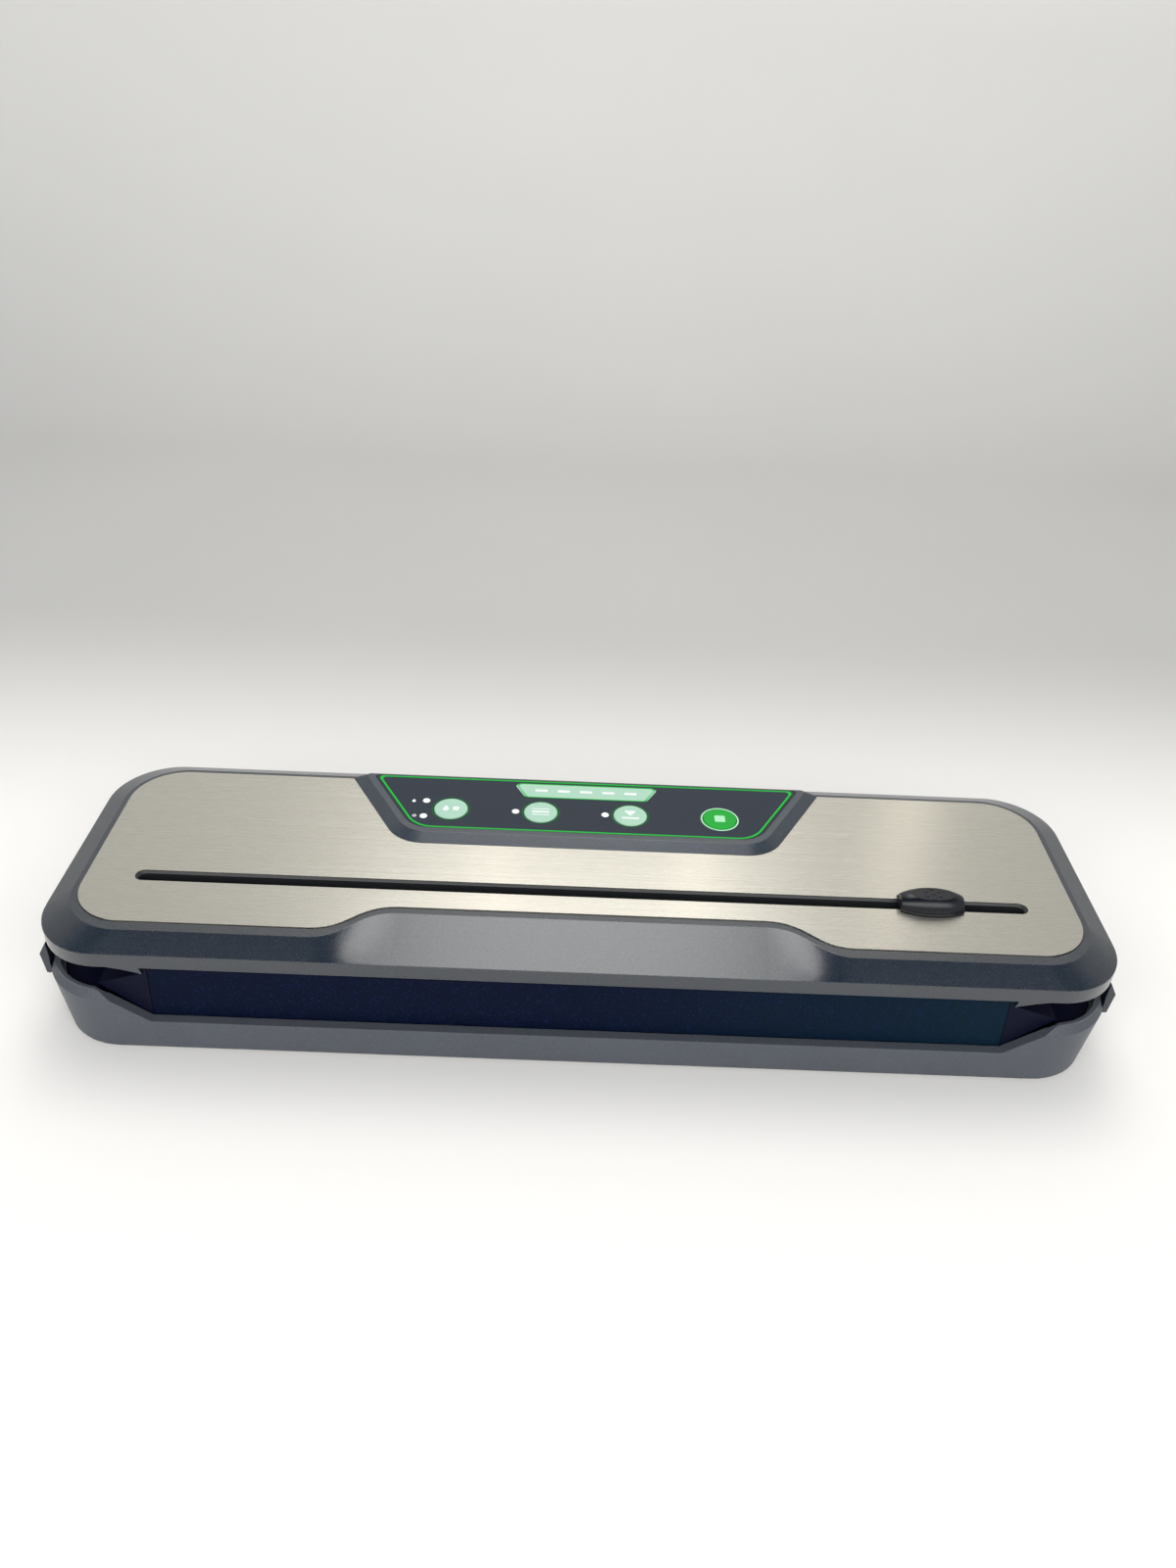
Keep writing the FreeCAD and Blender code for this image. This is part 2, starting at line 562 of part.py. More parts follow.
def transformer():
    core = box(-58, -14, 28, 44, MOUNT_Z, 31)
    windows = [box(-50, -42, 27, 45, 11, 25), box(-30, -22, 27, 45, 11, 25)]
    winding = box(-49.5, -22.5, 25.8, 44.2, 11.5, 24.5)
    base = box(-62, -10, 26, 46, MOUNT_Z - 1, MOUNT_Z)
    return fuse_all([core.cut(windows), winding, base])


def main_board():
    board = box(8, 132, 25.5, 46, 7, BOARD_TOP_Z)
    posts = [rod(x, y, FLOOR_TOP_Z, 2.4, 3.5, Z_AXIS) for x in (14, 126) for y in (29, 42.5)]
    return fuse_all([board] + posts)


def board_components():
    top = BOARD_TOP_Z
    parts = [
        box(20, 39, 28, 43, top, top + 15),
        box(44, 60, 29, 41, top, top + 11),
        box(98, 101, 28, 44, top, top + 20),
        box(104, 118, 30, 42, top, top + 9),
        box(78, 88, 40, 45, top, top + 6),
        box(62, 76, 27, 30, top, top + 8),
    ]
    parts += [rod(x, 34, top, 4.5, 14, Z_AXIS) for x in (67, 83)]
    parts += [rod(93, y, top, 2.2, 6, Z_AXIS) for y in (30, 36, 42)]
    return Part.makeCompound(parts)


def power_inlet():
    body = prism([(INLET_X - 9.8, INLET_Z - 5.3), (INLET_X + 9.8, INLET_Z - 5.3),
                  (INLET_X + 9.8, INLET_Z + 5.3), (INLET_X - 9.8, INLET_Z + 5.3)], [1.5] * 4, 0, 13)
    reach = INLET_PIN_SPACING / 2 + 3.9
    cavity = prism([(INLET_X - reach, INLET_Z - 3.9), (INLET_X + reach, INLET_Z - 3.9),
                    (INLET_X + reach, INLET_Z + 3.9), (INLET_X - reach, INLET_Z + 3.9)], [3.89] * 4, 2, 14)
    flange_back = prism([(INLET_X - 11, INLET_Z - 5), (INLET_X + 11, INLET_Z - 5),
                         (INLET_X + 11, INLET_Z + 5), (INLET_X - 11, INLET_Z + 5)], [1] * 4, 7.2, 8.4)
    body = cut_all(body.fuse(flange_back), [cavity])
    body.rotate(Vector(0, 0, 0), X_AXIS, 90)
    body = body.mirror(Vector(0, 0, 0), Y_AXIS)
    body.translate(Vector(0, 46.6, 0))
    return body


def inlet_pins():
    pins = []
    for side in (-1, 1):
        x = INLET_X + side * INLET_PIN_SPACING / 2
        shaft = rod(x, 48.6, INLET_Z, 1.2, 8.6, Y_AXIS)
        tip = Part.makeCone(1.2, 0.7, 0.8, Vector(x, 57.2, INLET_Z), Y_AXIS)
        tag = box(x - 1.2, x + 1.2, 40, 46.6, INLET_Z - 0.3, INLET_Z + 0.3)
        pins.append(fuse_all([shaft, tip]))
        pins.append(tag)
    return Part.makeCompound(pins)


def lid_switch():
    body = box(SWITCH_X - 3.5, SWITCH_X + 3.5, SWITCH_Y - 7, SWITCH_Y + 5, 28, 35.4)
    plunger = rod(SWITCH_X, SWITCH_Y, 35.4, 1.2, 4.1, Z_AXIS)
    legs = [box(SWITCH_X - 2, SWITCH_X + 2, SWITCH_Y + y, SWITCH_Y + y + 0.6, 24, 28) for y in (-5, -1, 3)]
    return fuse_all([body, plunger] + legs)


def hinge_pins():
    length = 2 * (KNUCKLE_HALF + EAR_GAP + EAR_WIDTH) + 1
    return Part.makeCompound([rod(side * HINGE_X - length / 2, HINGE_Y, HINGE_Z, PIN_RADIUS, length, X_AXIS)
                              for side in (-1, 1)])


def latch_pivot_pins():
    return Part.makeCompound([rod(side * LATCH_PIVOT_X, -33.8, LATCH_PIVOT_Z, PIN_RADIUS, 27.6, Y_AXIS)
                              for side in (-1, 1)])


# ---------------------------------------------------------------- latches (right-hand shapes)
def latch_lever():
    inner_x = 183.2
    outline = [(inner_x, LATCH_PIVOT_Z), (186, LATCH_PIVOT_Z), (186, 36), (187.6, 37.4), (186.4, 39),
               (inner_x, 39)]
    plate = front_prism(outline, LATCH_LEVER_Y[0], LATCH_LEVER_Y[1])
    barrel = rod(LATCH_PIVOT_X, -30.2, LATCH_PIVOT_Z, 3.2, 20.4, Y_AXIS)
    bore = rod(LATCH_PIVOT_X, -45, LATCH_PIVOT_Z, PIN_RADIUS + 0.05, 40, Y_AXIS)
    window = box(180, 190, -24, -16, 24, 27)
    return cut_all(plate.fuse(barrel), [bore, window])


def latch_button():
    inner_x = LATCH_POCKET_X + 0.8
    outline = [(186, 27.6), (inner_x, 27.6), (inner_x, 21.6), (inner_x + 0.8, 20.9), (197.2, 21.1),
               (198, 30.3), (195, 35.6), (186, 35.6)]
    body = front_prism(outline, LATCH_BUTTON_Y[0], LATCH_BUTTON_Y[1])
    body = body.cut(box(180, inner_x - 0.2, LATCH_BUTTON_Y[0] - 1, LATCH_LEVER_Y[0] - 0.4, 20, 40))
    grip_y = LATCH_BUTTON_Y[0] + 7
    ribs = [box(197.3, 199, grip_y + 3 * i, grip_y + 3 * i + 1, 20, 32) for i in range(8)]
    return cut_all(body, [rib.common(body) for rib in ribs])


def latch_spring():
    """Closed coils of a short return spring between the deck wall and the lever."""
    coils = [Part.makeTorus(2.2, 0.35, Vector(178.6 + 0.72 * i, LATCH_SPRING_Y, LATCH_SPRING_Z), X_AXIS)
             for i in range(6)]
    guide = rod(178.1, LATCH_SPRING_Y, LATCH_SPRING_Z, 2.3, 4.9, X_AXIS)
    guide = guide.cut(rod(177, LATCH_SPRING_Y, LATCH_SPRING_Z, 2.0, 8, X_AXIS))
    return fuse_all([guide] + coils)


# ---------------------------------------------------------------- lid
def lid_shell():
    lip_wire = lid_wire(LID_HALF_WIDTH, FRONT_Y, LID_REAR_Y, LID_CORNER_R, 0, LIP_TOP_Z)
    bezel_wire = lid_wire(BEZEL_HALF_WIDTH, BEZEL_FRONT_Y, BEZEL_REAR_Y, BEZEL_CORNER_R,
                          BEZEL_SCOOP, BEZEL_Z)
    lip = slab(LID_HALF_WIDTH, FRONT_Y, LID_REAR_Y, LID_CORNER_R, LIP_BOTTOM_Z, LIP_TOP_Z)
    crown = Part.makeLoft([lip_wire, bezel_wire], True, True)
    tooth = [(153.6, 38.6), (155, 39.2), (160.5, 40.6), (166, LIP_BOTTOM_Z), (166, 42.5), (154.8, 42.5)]
    teeth = front_prism(tooth, FRONT_Y, FRONT_Y + LID_WALL)
    shell = fuse_all([lip, crown, teeth, left_of(teeth)])
    skirt = slab(LID_HALF_WIDTH - LID_WALL, FRONT_Y + LID_WALL, LID_REAR_Y - LID_WALL,
                 LID_CORNER_R - LID_WALL, LIP_BOTTOM_Z - 5, LID_EDGE_ROOF_Z)
    attic = slab(182, -36, 44, 20, LID_EDGE_ROOF_Z - 1, LID_ROOF_Z)
    seat = Part.Face(lid_wire(PLATE_HALF_WIDTH + 0.25, PLATE_FRONT_Y - 0.25, PLATE_REAR_Y + 0.25,
                              PLATE_CORNER_R + 0.25, PLATE_SCOOP, PLATE_SEAT_Z)).extrude(Vector(0, 0, 2))
    corners, radii = pod_outline(-0.2, -0.2)
    pod_seat = prism(corners, radii, PLATE_SEAT_Z, PLATE_SEAT_Z + 3)
    slot = obround(0, CUTTER_Y, SLOT_HALF_LENGTH + 0.3, SLOT_WIDTH + 0.6, LID_ROOF_Z - 1, PLATE_TOP_Z)
    tools = [skirt, attic, seat, pod_seat, slot]
    for x, y in key_places():
        tools.append(rod(x, y, LID_ROOF_Z - 1, 3.5, 5, Z_AXIS))
    for side in (-1, 1):
        x = side * HINGE_X
        tools.append(box(x - 9, x + 9, 48.5, LID_REAR_Y + 1, LIP_BOTTOM_Z - 5, 43.4))
    shell = cut_all(shell, tools)
    adds = []
    for side in (-1, 1):
        x0 = side * HINGE_X - KNUCKLE_HALF
        adds.append(rod(x0, HINGE_Y, HINGE_Z, KNUCKLE_RADIUS, 2 * KNUCKLE_HALF, X_AXIS))
        adds.append(box(x0, x0 + 2 * KNUCKLE_HALF, 49.2, LID_REAR_Y, HINGE_Z, LID_EDGE_ROOF_Z + 0.5))
    for x, y in LID_SCREWS:
        roof = LID_ROOF_Z if y > -40 else LID_EDGE_ROOF_Z
        adds.append(rod(x, y, LINER_TOP_Z, 3.2, roof + 0.5 - LINER_TOP_Z, Z_AXIS))
    for x in (-72, 72):
        for y in (-4, 36):
            adds.append(rod(x, y, 47, 2.5, LID_ROOF_Z + 0.5 - 47, Z_AXIS))
    shell = fuse_all([shell] + adds)
    bores = [rod(side * HINGE_X - 12, HINGE_Y, HINGE_Z, PIN_RADIUS + 0.05, 24, X_AXIS) for side in (-1, 1)]
    bores += [rod(x, y, LINER_TOP_Z - 1, 1.25, 4, Z_AXIS) for x, y in LID_SCREWS]
    swing = [rod(side * HINGE_X - 9, LID_REAR_Y, HINGE_Z, 1.2, 18, X_AXIS) for side in (-1, 1)]
    return cut_all(shell, bores + swing)


def lid_liner():
    plate = slab(LINER_HALF_WIDTH, LINER_FRONT_Y, LINER_REAR_Y, LINER_CORNER_R, LINER_Z, LINER_TOP_Z)
    tools = [obround(0, CUTTER_Y, 168, 5, LINER_Z - 1, LINER_TOP_Z + 1),
             mirrored_box(185.8, 200, STRIKER_Y[0] - 2, STRIKER_Y[1] + 2, LINER_Z - 1, LINER_TOP_Z + 1)]
    for x, y in LID_SCREWS:
        tools.append(rod(x, y, LINER_Z - 1, 1.4, 4, Z_AXIS))
        tools.append(rod(x, y, LINER_Z - 1, 2.5, 2.1, Z_AXIS))
    return cut_all(plate, tools)


def steel_plate():
    outline = lid_wire(PLATE_HALF_WIDTH, PLATE_FRONT_Y, PLATE_REAR_Y, PLATE_CORNER_R,
                       PLATE_SCOOP, PLATE_SEAT_Z)
    plate = Part.Face(outline).extrude(Vector(0, 0, PLATE_THICKNESS))
    corners, radii = pod_outline(-0.1, -0.1)
    pod = prism(corners, radii, PLATE_SEAT_Z - 1, PLATE_TOP_Z + 1)
    slot = obround(0, CUTTER_Y, SLOT_HALF_LENGTH, SLOT_WIDTH, PLATE_SEAT_Z - 1, PLATE_TOP_Z + 1)
    return cut_all(plate, [pod, slot])


def slot_corners(half_length, width):
    return rectangle(half_length, CUTTER_Y - width / 2, CUTTER_Y + width / 2)


def cutter_rail():
    sleeve = obround(0, CUTTER_Y, SLOT_HALF_LENGTH - 0.05, SLOT_WIDTH - 0.1, LID_ROOF_Z, PLATE_TOP_Z - 0.3)
    flange = box(-171, 171, CUTTER_Y - 8, CUTTER_Y + 8, LID_ROOF_Z - 1.4, LID_ROOF_Z)
    skirts = [box(-171, 171, CUTTER_Y + y - 0.6, CUTTER_Y + y + 0.6, 44, LID_ROOF_Z) for y in (-7.4, 7.4)]
    inner_half = SLOT_HALF_LENGTH - 1.2
    slot = obround(0, CUTTER_Y, inner_half, RAIL_SLOT_WIDTH, LID_ROOF_Z - 3, PLATE_TOP_Z)
    rim_z = PLATE_TOP_Z - 0.3
    low_width = RAIL_SLOT_WIDTH - 0.2
    high_width = RAIL_SLOT_WIDTH + 1.2
    chamfer = taper(slot_corners(inner_half - 0.1, low_width), [low_width / 2 - 0.01] * 4, rim_z - 0.9,
                    slot_corners(inner_half + 0.9, high_width), [high_width / 2 - 0.01] * 4, rim_z + 0.1)
    return cut_all(fuse_all([sleeve, flange] + skirts), [slot, chamfer])


def window_outline(inset):
    corners = [(-25 + inset, 33.4 + inset), (25 - inset, 33.4 + inset), (30 - inset, 42.3 - inset),
               (-30 + inset, 42.3 - inset)]
    return corners, [1.5] * 4


def pod_frame():
    corners, radii = pod_outline(0, 0)
    top_corners, top_radii = pod_outline(POD_BEVEL, 0.5)
    foot = prism(corners, radii, PLATE_SEAT_Z, PLATE_TOP_Z)
    crown = taper(corners, radii, PLATE_TOP_Z, top_corners, top_radii, POD_TOP_Z)
    corners, radii = pod_outline(OVERLAY_INSET - 0.1, OVERLAY_REAR_INSET - 0.1)
    tools = [prism(corners, radii, OVERLAY_FLOOR_Z, POD_TOP_Z + 1)]
    tools += [rod(x, y, PLATE_SEAT_Z - 1, KEY_RADIUS + 0.4, 5, Z_AXIS) for x, y in key_places()]
    tools += [rod(x, y, PLATE_SEAT_Z - 1, LAMP_RADIUS + 0.05, 5, Z_AXIS) for x, y in LAMP_PLACES]
    tools.append(box(-22.5, 22.5, BAR_Y - 1.4, BAR_Y + 1.4, PLATE_SEAT_Z - 1, POD_TOP_Z))
    return cut_all(foot.fuse(crown), tools)


def control_overlay():
    corners, radii = pod_outline(OVERLAY_INSET, OVERLAY_REAR_INSET)
    sheet = prism(corners, radii, OVERLAY_FLOOR_Z, OVERLAY_TOP_Z)
    tools = [rod(x, y, OVERLAY_FLOOR_Z - 1, KEY_RADIUS + 0.3, 3, Z_AXIS) for x, y in key_places()]
    tools += [rod(x, y, OVERLAY_FLOOR_Z - 1, LAMP_RADIUS + 0.05, 3, Z_AXIS) for x, y in LAMP_PLACES]
    corners, radii = window_outline(0)
    tools.append(prism(corners, radii, OVERLAY_FLOOR_Z - 1, OVERLAY_TOP_Z + 1))
    return cut_all(sheet, tools)


def progress_window():
    corners, radii = window_outline(0.05)
    return prism(corners, radii, OVERLAY_FLOOR_Z, OVERLAY_TOP_Z)


def progress_leds():
    bars = []
    for i in range(BAR_COUNT):
        x = BAR_PITCH * (i - (BAR_COUNT - 1) / 2)
        bars.append(box(x - 2.55, x + 2.55, BAR_Y - 0.8, BAR_Y + 0.8, PLATE_SEAT_Z, OVERLAY_FLOOR_Z))
    return Part.makeCompound(bars)


def indicator_lenses():
    height = OVERLAY_TOP_Z + 0.1 - PLATE_SEAT_Z
    return Part.makeCompound([rod(x, y, PLATE_SEAT_Z, LAMP_RADIUS, height, Z_AXIS) for x, y in LAMP_PLACES])


def key(x, y):
    cap = rod(x, y, PLATE_SEAT_Z + 0.7, KEY_RADIUS, KEY_TOP_Z - PLATE_SEAT_Z - 0.7, Z_AXIS)
    cap = cap.makeChamfer(0.25, [e for e in cap.Edges if abs(e.BoundBox.ZMin - KEY_TOP_Z) < 0.01])
    stem = rod(x, y, 50.8, 2.5, PLATE_SEAT_Z + 0.7 - 50.8, Z_AXIS)
    return cap.fuse(stem).removeSplitter()


def control_board():
    board = box(-77, 77, -8, 41, 45.4, 47)
    holes = [rod(x, y, 44, 1, 4, Z_AXIS) for x in (-72, 72) for y in (-4, 36)]
    return cut_all(board, holes)


def key_switches():
    switches = []
    for x, y in key_places():
        body = box(x - 3, x + 3, y - 3, y + 3, 47, 49.4)
        switches.append(body.fuse(rod(x, y, 49.4, 1.7, 0.9, Z_AXIS)).removeSplitter())
    return Part.makeCompound(switches)


def lid_striker():
    wall_x = LID_HALF_WIDTH - LID_WALL
    outline = [(wall_x, LID_EDGE_ROOF_Z), (189.6, LID_EDGE_ROOF_Z), (189.6, 41.8), (186.3, 41), (186.3, 40.2),
               (187.2, 39.6), (191.2, 39.6), (wall_x, 41.5)]
    return front_prism(outline, STRIKER_Y[0], STRIKER_Y[1])


# ---------------------------------------------------------------- cutter
def ellipsoid(x_half, y_half, z_half):
    stretch = FreeCAD.Matrix()
    stretch.scale(x_half, y_half, z_half)
    return Part.makeSphere(1, Vector(0, 0, 0)).transformGeometry(stretch)


def cutter_knob():
    """Barrel-shaped slider with flat ends, a thin foot, a flat on top and a pattern of raised domes."""
    half = KNOB_LENGTH / 2
    body = ellipsoid(KNOB_LENGTH * 0.62, KNOB_WIDTH / 2, KNOB_HEIGHT)
    body = body.common(box(-half, half, -KNOB_WIDTH, KNOB_WIDTH, 0, KNOB_HEIGHT * 2))
    foot = ellipsoid(KNOB_LENGTH * 0.64, KNOB_WIDTH / 2 + 0.35, KNOB_HEIGHT)
    foot = foot.common(box(-half - 0.3, half + 0.3, -KNOB_WIDTH, KNOB_WIDTH, 0, 0.7))
    body = body.fuse(foot).cut(box(-half, half, -KNOB_WIDTH, KNOB_WIDTH, KNOB_FLAT_Z, KNOB_HEIGHT + 1))
    dots = [(0, 0)] + [(KNOB_DOT_RING * math.cos(math.radians(30 + 60 * i)),
                        KNOB_DOT_RING * math.sin(math.radians(30 + 60 * i))) for i in range(6)]
    for dx, dy in dots:
        dome = ellipsoid(KNOB_DOT_RADIUS, KNOB_DOT_RADIUS, KNOB_DOT_RISE)
        dome.translate(Vector(dx, dy, KNOB_FLAT_Z))
        body = body.fuse(dome)
    body.translate(Vector(KNOB_X, CUTTER_Y, KNOB_BOTTOM_Z))
    stem = box(KNOB_X - 8, KNOB_X + 8, CUTTER_Y - 1.9, CUTTER_Y + 1.9, 48.1, KNOB_BOTTOM_Z + 0.5)
    return body.fuse(stem).removeSplitter()


def cutter_carriage():
    block = box(KNOB_X - 12, KNOB_X + 12, CUTTER_Y - 5.5, CUTTER_Y + 5.5, 45.2, 48.1)
    cheek_y = (CUTTER_Y - 1.2, CUTTER_Y + 1.2)
    cheeks = [box(KNOB_X - 5, KNOB_X + 5, y - 0.8, y + 0.8, 41.8, 45.2) for y in cheek_y]
    slit = box(KNOB_X - 7, KNOB_X + 7, CUTTER_Y - 0.4, CUTTER_Y + 0.4, 41, 47)
    return cut_all(fuse_all([block] + cheeks), [slit])


def cutter_blade():
    outline = [(KNOB_X - 6, 46.5), (KNOB_X - 6, 41), (KNOB_X, 35.5), (KNOB_X + 6, 41), (KNOB_X + 6, 46.5)]
    return front_prism(outline, CUTTER_Y - 0.25, CUTTER_Y + 0.25)


# ---------------------------------------------------------------- write every node
save("base_shell", base_shell())
save("bottom_plate", bottom_plate())
save("rubber_feet", rubber_feet())
save("base_screws", screws(BASE_SCREWS, BASE_BOTTOM_Z + 0.1, 2.6, SCREW_HEAD_HEIGHT, 1.3, 8.5))
save("base_deck", base_deck())
save("front_apron", front_apron())
save("chamber_tray", chamber_tray())
save("chamber_gasket", ring(GASKET_HALF_LENGTH, GASKET_FRONT_Y, GASKET_REAR_Y, 8, GASKET_WIDTH,
                            GASKET_FLOOR_Z, GASKET_TOP_Z))
save("seal_bar_carrier", box(-SEAL_HALF_LENGTH + 0.2, SEAL_HALF_LENGTH - 0.2, SEAL_FRONT_Y + 0.2,
                             SEAL_REAR_Y - 0.2, SEAL_FLOOR_Z, DECK_TOP_Z + 0.3))
save("heating_strip", box(-150, 150, -47.5, -44.5, DECK_TOP_Z + 0.3, DECK_TOP_Z + 0.6))
save("heat_proof_tape", box(-151, 151, -50.4, -41.2, DECK_TOP_Z + 0.6, DECK_TOP_Z + 0.85))
save("chamber_port", chamber_port())
save("pump_hose", hose_solid(HOSE_RADIUS).cut(hose_solid(1.6)).removeSplitter())
save("pump_body", pump_body())
save("pump_motor", pump_motor())
save("transformer", transformer())
save("main_board", main_board())
save("board_components", board_components())
save("power_inlet", power_inlet())
save("inlet_pins", inlet_pins())
save("lid_switch", lid_switch())
save("hinge_pins", hinge_pins())
save("latch_pivot_pins", latch_pivot_pins())
for side_name, place in (("right", lambda shape: shape), ("left", left_of)):
    save("latch_lever_" + side_name, place(latch_lever()))
    save("latch_button_" + side_name, place(latch_button()))
    save("latch_spring_" + side_name, place(latch_spring()))
save("lid_shell", lid_shell())
save("lid_liner", lid_liner())
save("steel_plate", steel_plate())
save("cutter_rail", cutter_rail())
save("pod_frame", pod_frame())
save("control_overlay", control_overlay())
save("progress_window", progress_window())
save("progress_leds", progress_leds())
save("indicator_lenses", indicator_lenses())
for name, (x, y) in zip(KEY_NAMES, key_places()):
    save(name, key(x, y))
save("control_board", control_board())
save("key_switches", key_switches())
save("upper_gasket", ring(GASKET_HALF_LENGTH, GASKET_FRONT_Y, GASKET_REAR_Y, 8, GASKET_WIDTH, 40.4, LINER_Z))
save("pressure_strip", box(-151, 151, -49.5, -41.5, 40.2, LINER_Z))
save("lid_strikers", pair(lid_striker()))
save("lid_screws", screws(LID_SCREWS, LINER_Z + 0.05, 2.3, 1.0, 1.2, 3.0))
save("cutter_knob", cutter_knob())
save("cutter_carriage", cutter_carriage())
save("cutter_blade", cutter_blade())
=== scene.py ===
import math

import bmesh
import bpy
from mathutils import Matrix, Vector


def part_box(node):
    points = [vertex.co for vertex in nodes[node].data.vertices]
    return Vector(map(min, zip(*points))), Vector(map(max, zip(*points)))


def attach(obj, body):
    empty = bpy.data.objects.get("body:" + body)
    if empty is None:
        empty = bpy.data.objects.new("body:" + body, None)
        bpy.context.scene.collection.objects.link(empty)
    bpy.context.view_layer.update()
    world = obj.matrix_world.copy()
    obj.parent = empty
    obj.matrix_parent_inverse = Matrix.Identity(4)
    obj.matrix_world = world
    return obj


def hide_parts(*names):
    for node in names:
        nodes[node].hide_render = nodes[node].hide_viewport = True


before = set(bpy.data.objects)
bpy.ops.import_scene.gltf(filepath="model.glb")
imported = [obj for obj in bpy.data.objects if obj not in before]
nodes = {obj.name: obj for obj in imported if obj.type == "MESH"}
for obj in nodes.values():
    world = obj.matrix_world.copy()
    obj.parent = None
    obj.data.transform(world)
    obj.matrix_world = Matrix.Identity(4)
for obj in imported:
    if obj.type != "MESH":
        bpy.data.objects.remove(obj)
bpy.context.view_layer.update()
MM = 0.001

# Socket numbers of a Mix node that blends two colours.
MIX_FACTOR = 0
MIX_A = 6
MIX_B = 7
MIX_RESULT = 2

# The range of a pattern's values that is stretched to a full swing: a narrower one is harder.
SOFT_CONTRAST = (0.3, 0.7)
FIRM_CONTRAST = (0.35, 0.65)


# ---------------------------------------------------------------- material helpers
class Look:
    """A node material on a Principled shader. Pattern sizes are metres of the object's space."""

    def __init__(self, name, metallic=0.0, roughness=0.5, coat=0.0, coat_roughness=0.1,
                 sheen=0.0, ior=1.5):
        self.material = bpy.data.materials.new(name)
        self.material.use_nodes = True
        self.tree = self.material.node_tree
        self.shader = self.tree.nodes["Principled BSDF"]
        self.set("Metallic", metallic)
        self.set("Roughness", roughness)
        self.set("Coat Weight", coat)
        self.set("Coat Roughness", coat_roughness)
        self.set("Sheen Weight", sheen)
        self.set("IOR", ior)
        self.place = self.add("ShaderNodeTexCoord").outputs["Object"]

    def set(self, socket, value):
        self.shader.inputs[socket].default_value = value

    def link(self, socket, value):
        self.tree.links.new(value, self.shader.inputs[socket])

    def add(self, kind, inputs=None, **settings):
        """A new node, its inputs linked to sockets or set to plain values."""
        node = self.tree.nodes.new(kind)
        for key, value in settings.items():
            setattr(node, key, value)
        for key, value in (inputs or {}).items():
            if isinstance(value, bpy.types.NodeSocket):
                self.tree.links.new(value, node.inputs[key])
            else:
                node.inputs[key].default_value = value
        return node

    def stretched(self, sizes):
        """Coordinates counted in feature sizes along X, Y and Z."""
        scale = [1 / s for s in sizes]
        inputs = {"Vector": self.place, "Scale": scale}
        return self.add("ShaderNodeMapping", inputs).outputs["Vector"]

    def noise(self, size, detail=2.0, rough=0.5):
        sizes = size if isinstance(size, tuple) else (size, size, size)
        inputs = {"Vector": self.stretched(sizes), "Scale": 1.0, "Detail": detail,
                  "Roughness": rough}
        return self.add("ShaderNodeTexNoise", inputs).outputs["Fac"]

    def cells(self, size):
        """One random value from 0 to 1 for each cell."""
        inputs = {"Vector": self.stretched((size, size, size)), "Scale": 1.0}
        colour = self.add("ShaderNodeTexVoronoi", inputs).outputs["Color"]
        return self.add("ShaderNodeSeparateColor", {"Color": colour}).outputs["Red"]

    def waves(self, size, direction):
        """Regular bands across one axis."""
        inputs = {"Vector": self.stretched((1, 1, 1)), "Scale": 1 / size}
        return self.add("ShaderNodeTexWave", inputs, bands_direction=direction).outputs["Fac"]

    def axis(self, name):
        return self.add("ShaderNodeSeparateXYZ", {"Vector": self.place}).outputs[name]

    def remap(self, value, low, high, to_low=0.0, to_high=1.0, **settings):
        inputs = {"Value": value, "From Min": low, "From Max": high, "To Min": to_low,
                  "To Max": to_high}
        return self.add("ShaderNodeMapRange", inputs, **settings).outputs["Result"]

    def math(self, operation, a, b):
        return self.add("ShaderNodeMath", {0: a, 1: b}, operation=operation).outputs["Value"]

    def average(self, a, b):
        return self.math("MULTIPLY", self.math("ADD", a, b), 0.5)

    def blend(self, factor, colour_a, colour_b):
        def socket_value(value):
            return value if isinstance(value, bpy.types.NodeSocket) else (*value, 1)
        inputs = {MIX_FACTOR: factor, MIX_A: socket_value(colour_a), MIX_B: socket_value(colour_b)}
        return self.add("ShaderNodeMix", inputs, data_type="RGBA").outputs[MIX_RESULT]

    def tint(self, value, span, colour_a, colour_b):
        """Colour a up to the span's first value, colour b from its second one on."""
        return self.blend(self.remap(value, *span), colour_a, colour_b)

    def colour(self, value):
        self.link("Base Color", value)

    def rough(self, value, low, high):
        self.link("Roughness", self.remap(value, *SOFT_CONTRAST, low, high))

    def bump(self, height, depth):
        """Raises the surface by height times depth in metres."""
        inputs = {"Height": height, "Distance": depth, "Strength": 1.0}
        if self.shader.inputs["Normal"].is_linked:
            inputs["Normal"] = self.shader.inputs["Normal"].links[0].from_socket
        self.link("Normal", self.add("ShaderNodeBump", inputs).outputs["Normal"])

    def round_edges(self, radius):
        """Shades sharp edges as if they were rounded. Any bump comes after it."""
        bevel = self.add("ShaderNodeBevel", {"Radius": radius}, samples=4)
        self.link("Normal", bevel.outputs["Normal"])


def rgb(red, green, blue):
    """Scene-linear colour from the 0 to 255 values that a paint chart gives."""
    def linear(value):
        share = value / 255
        return share / 12.92 if share <= 0.04045 else ((share + 0.055) / 1.055) ** 2.4
    return linear(red), linear(green), linear(blue)


def scaled(colour, factor):
    return tuple(c * factor for c in colour)


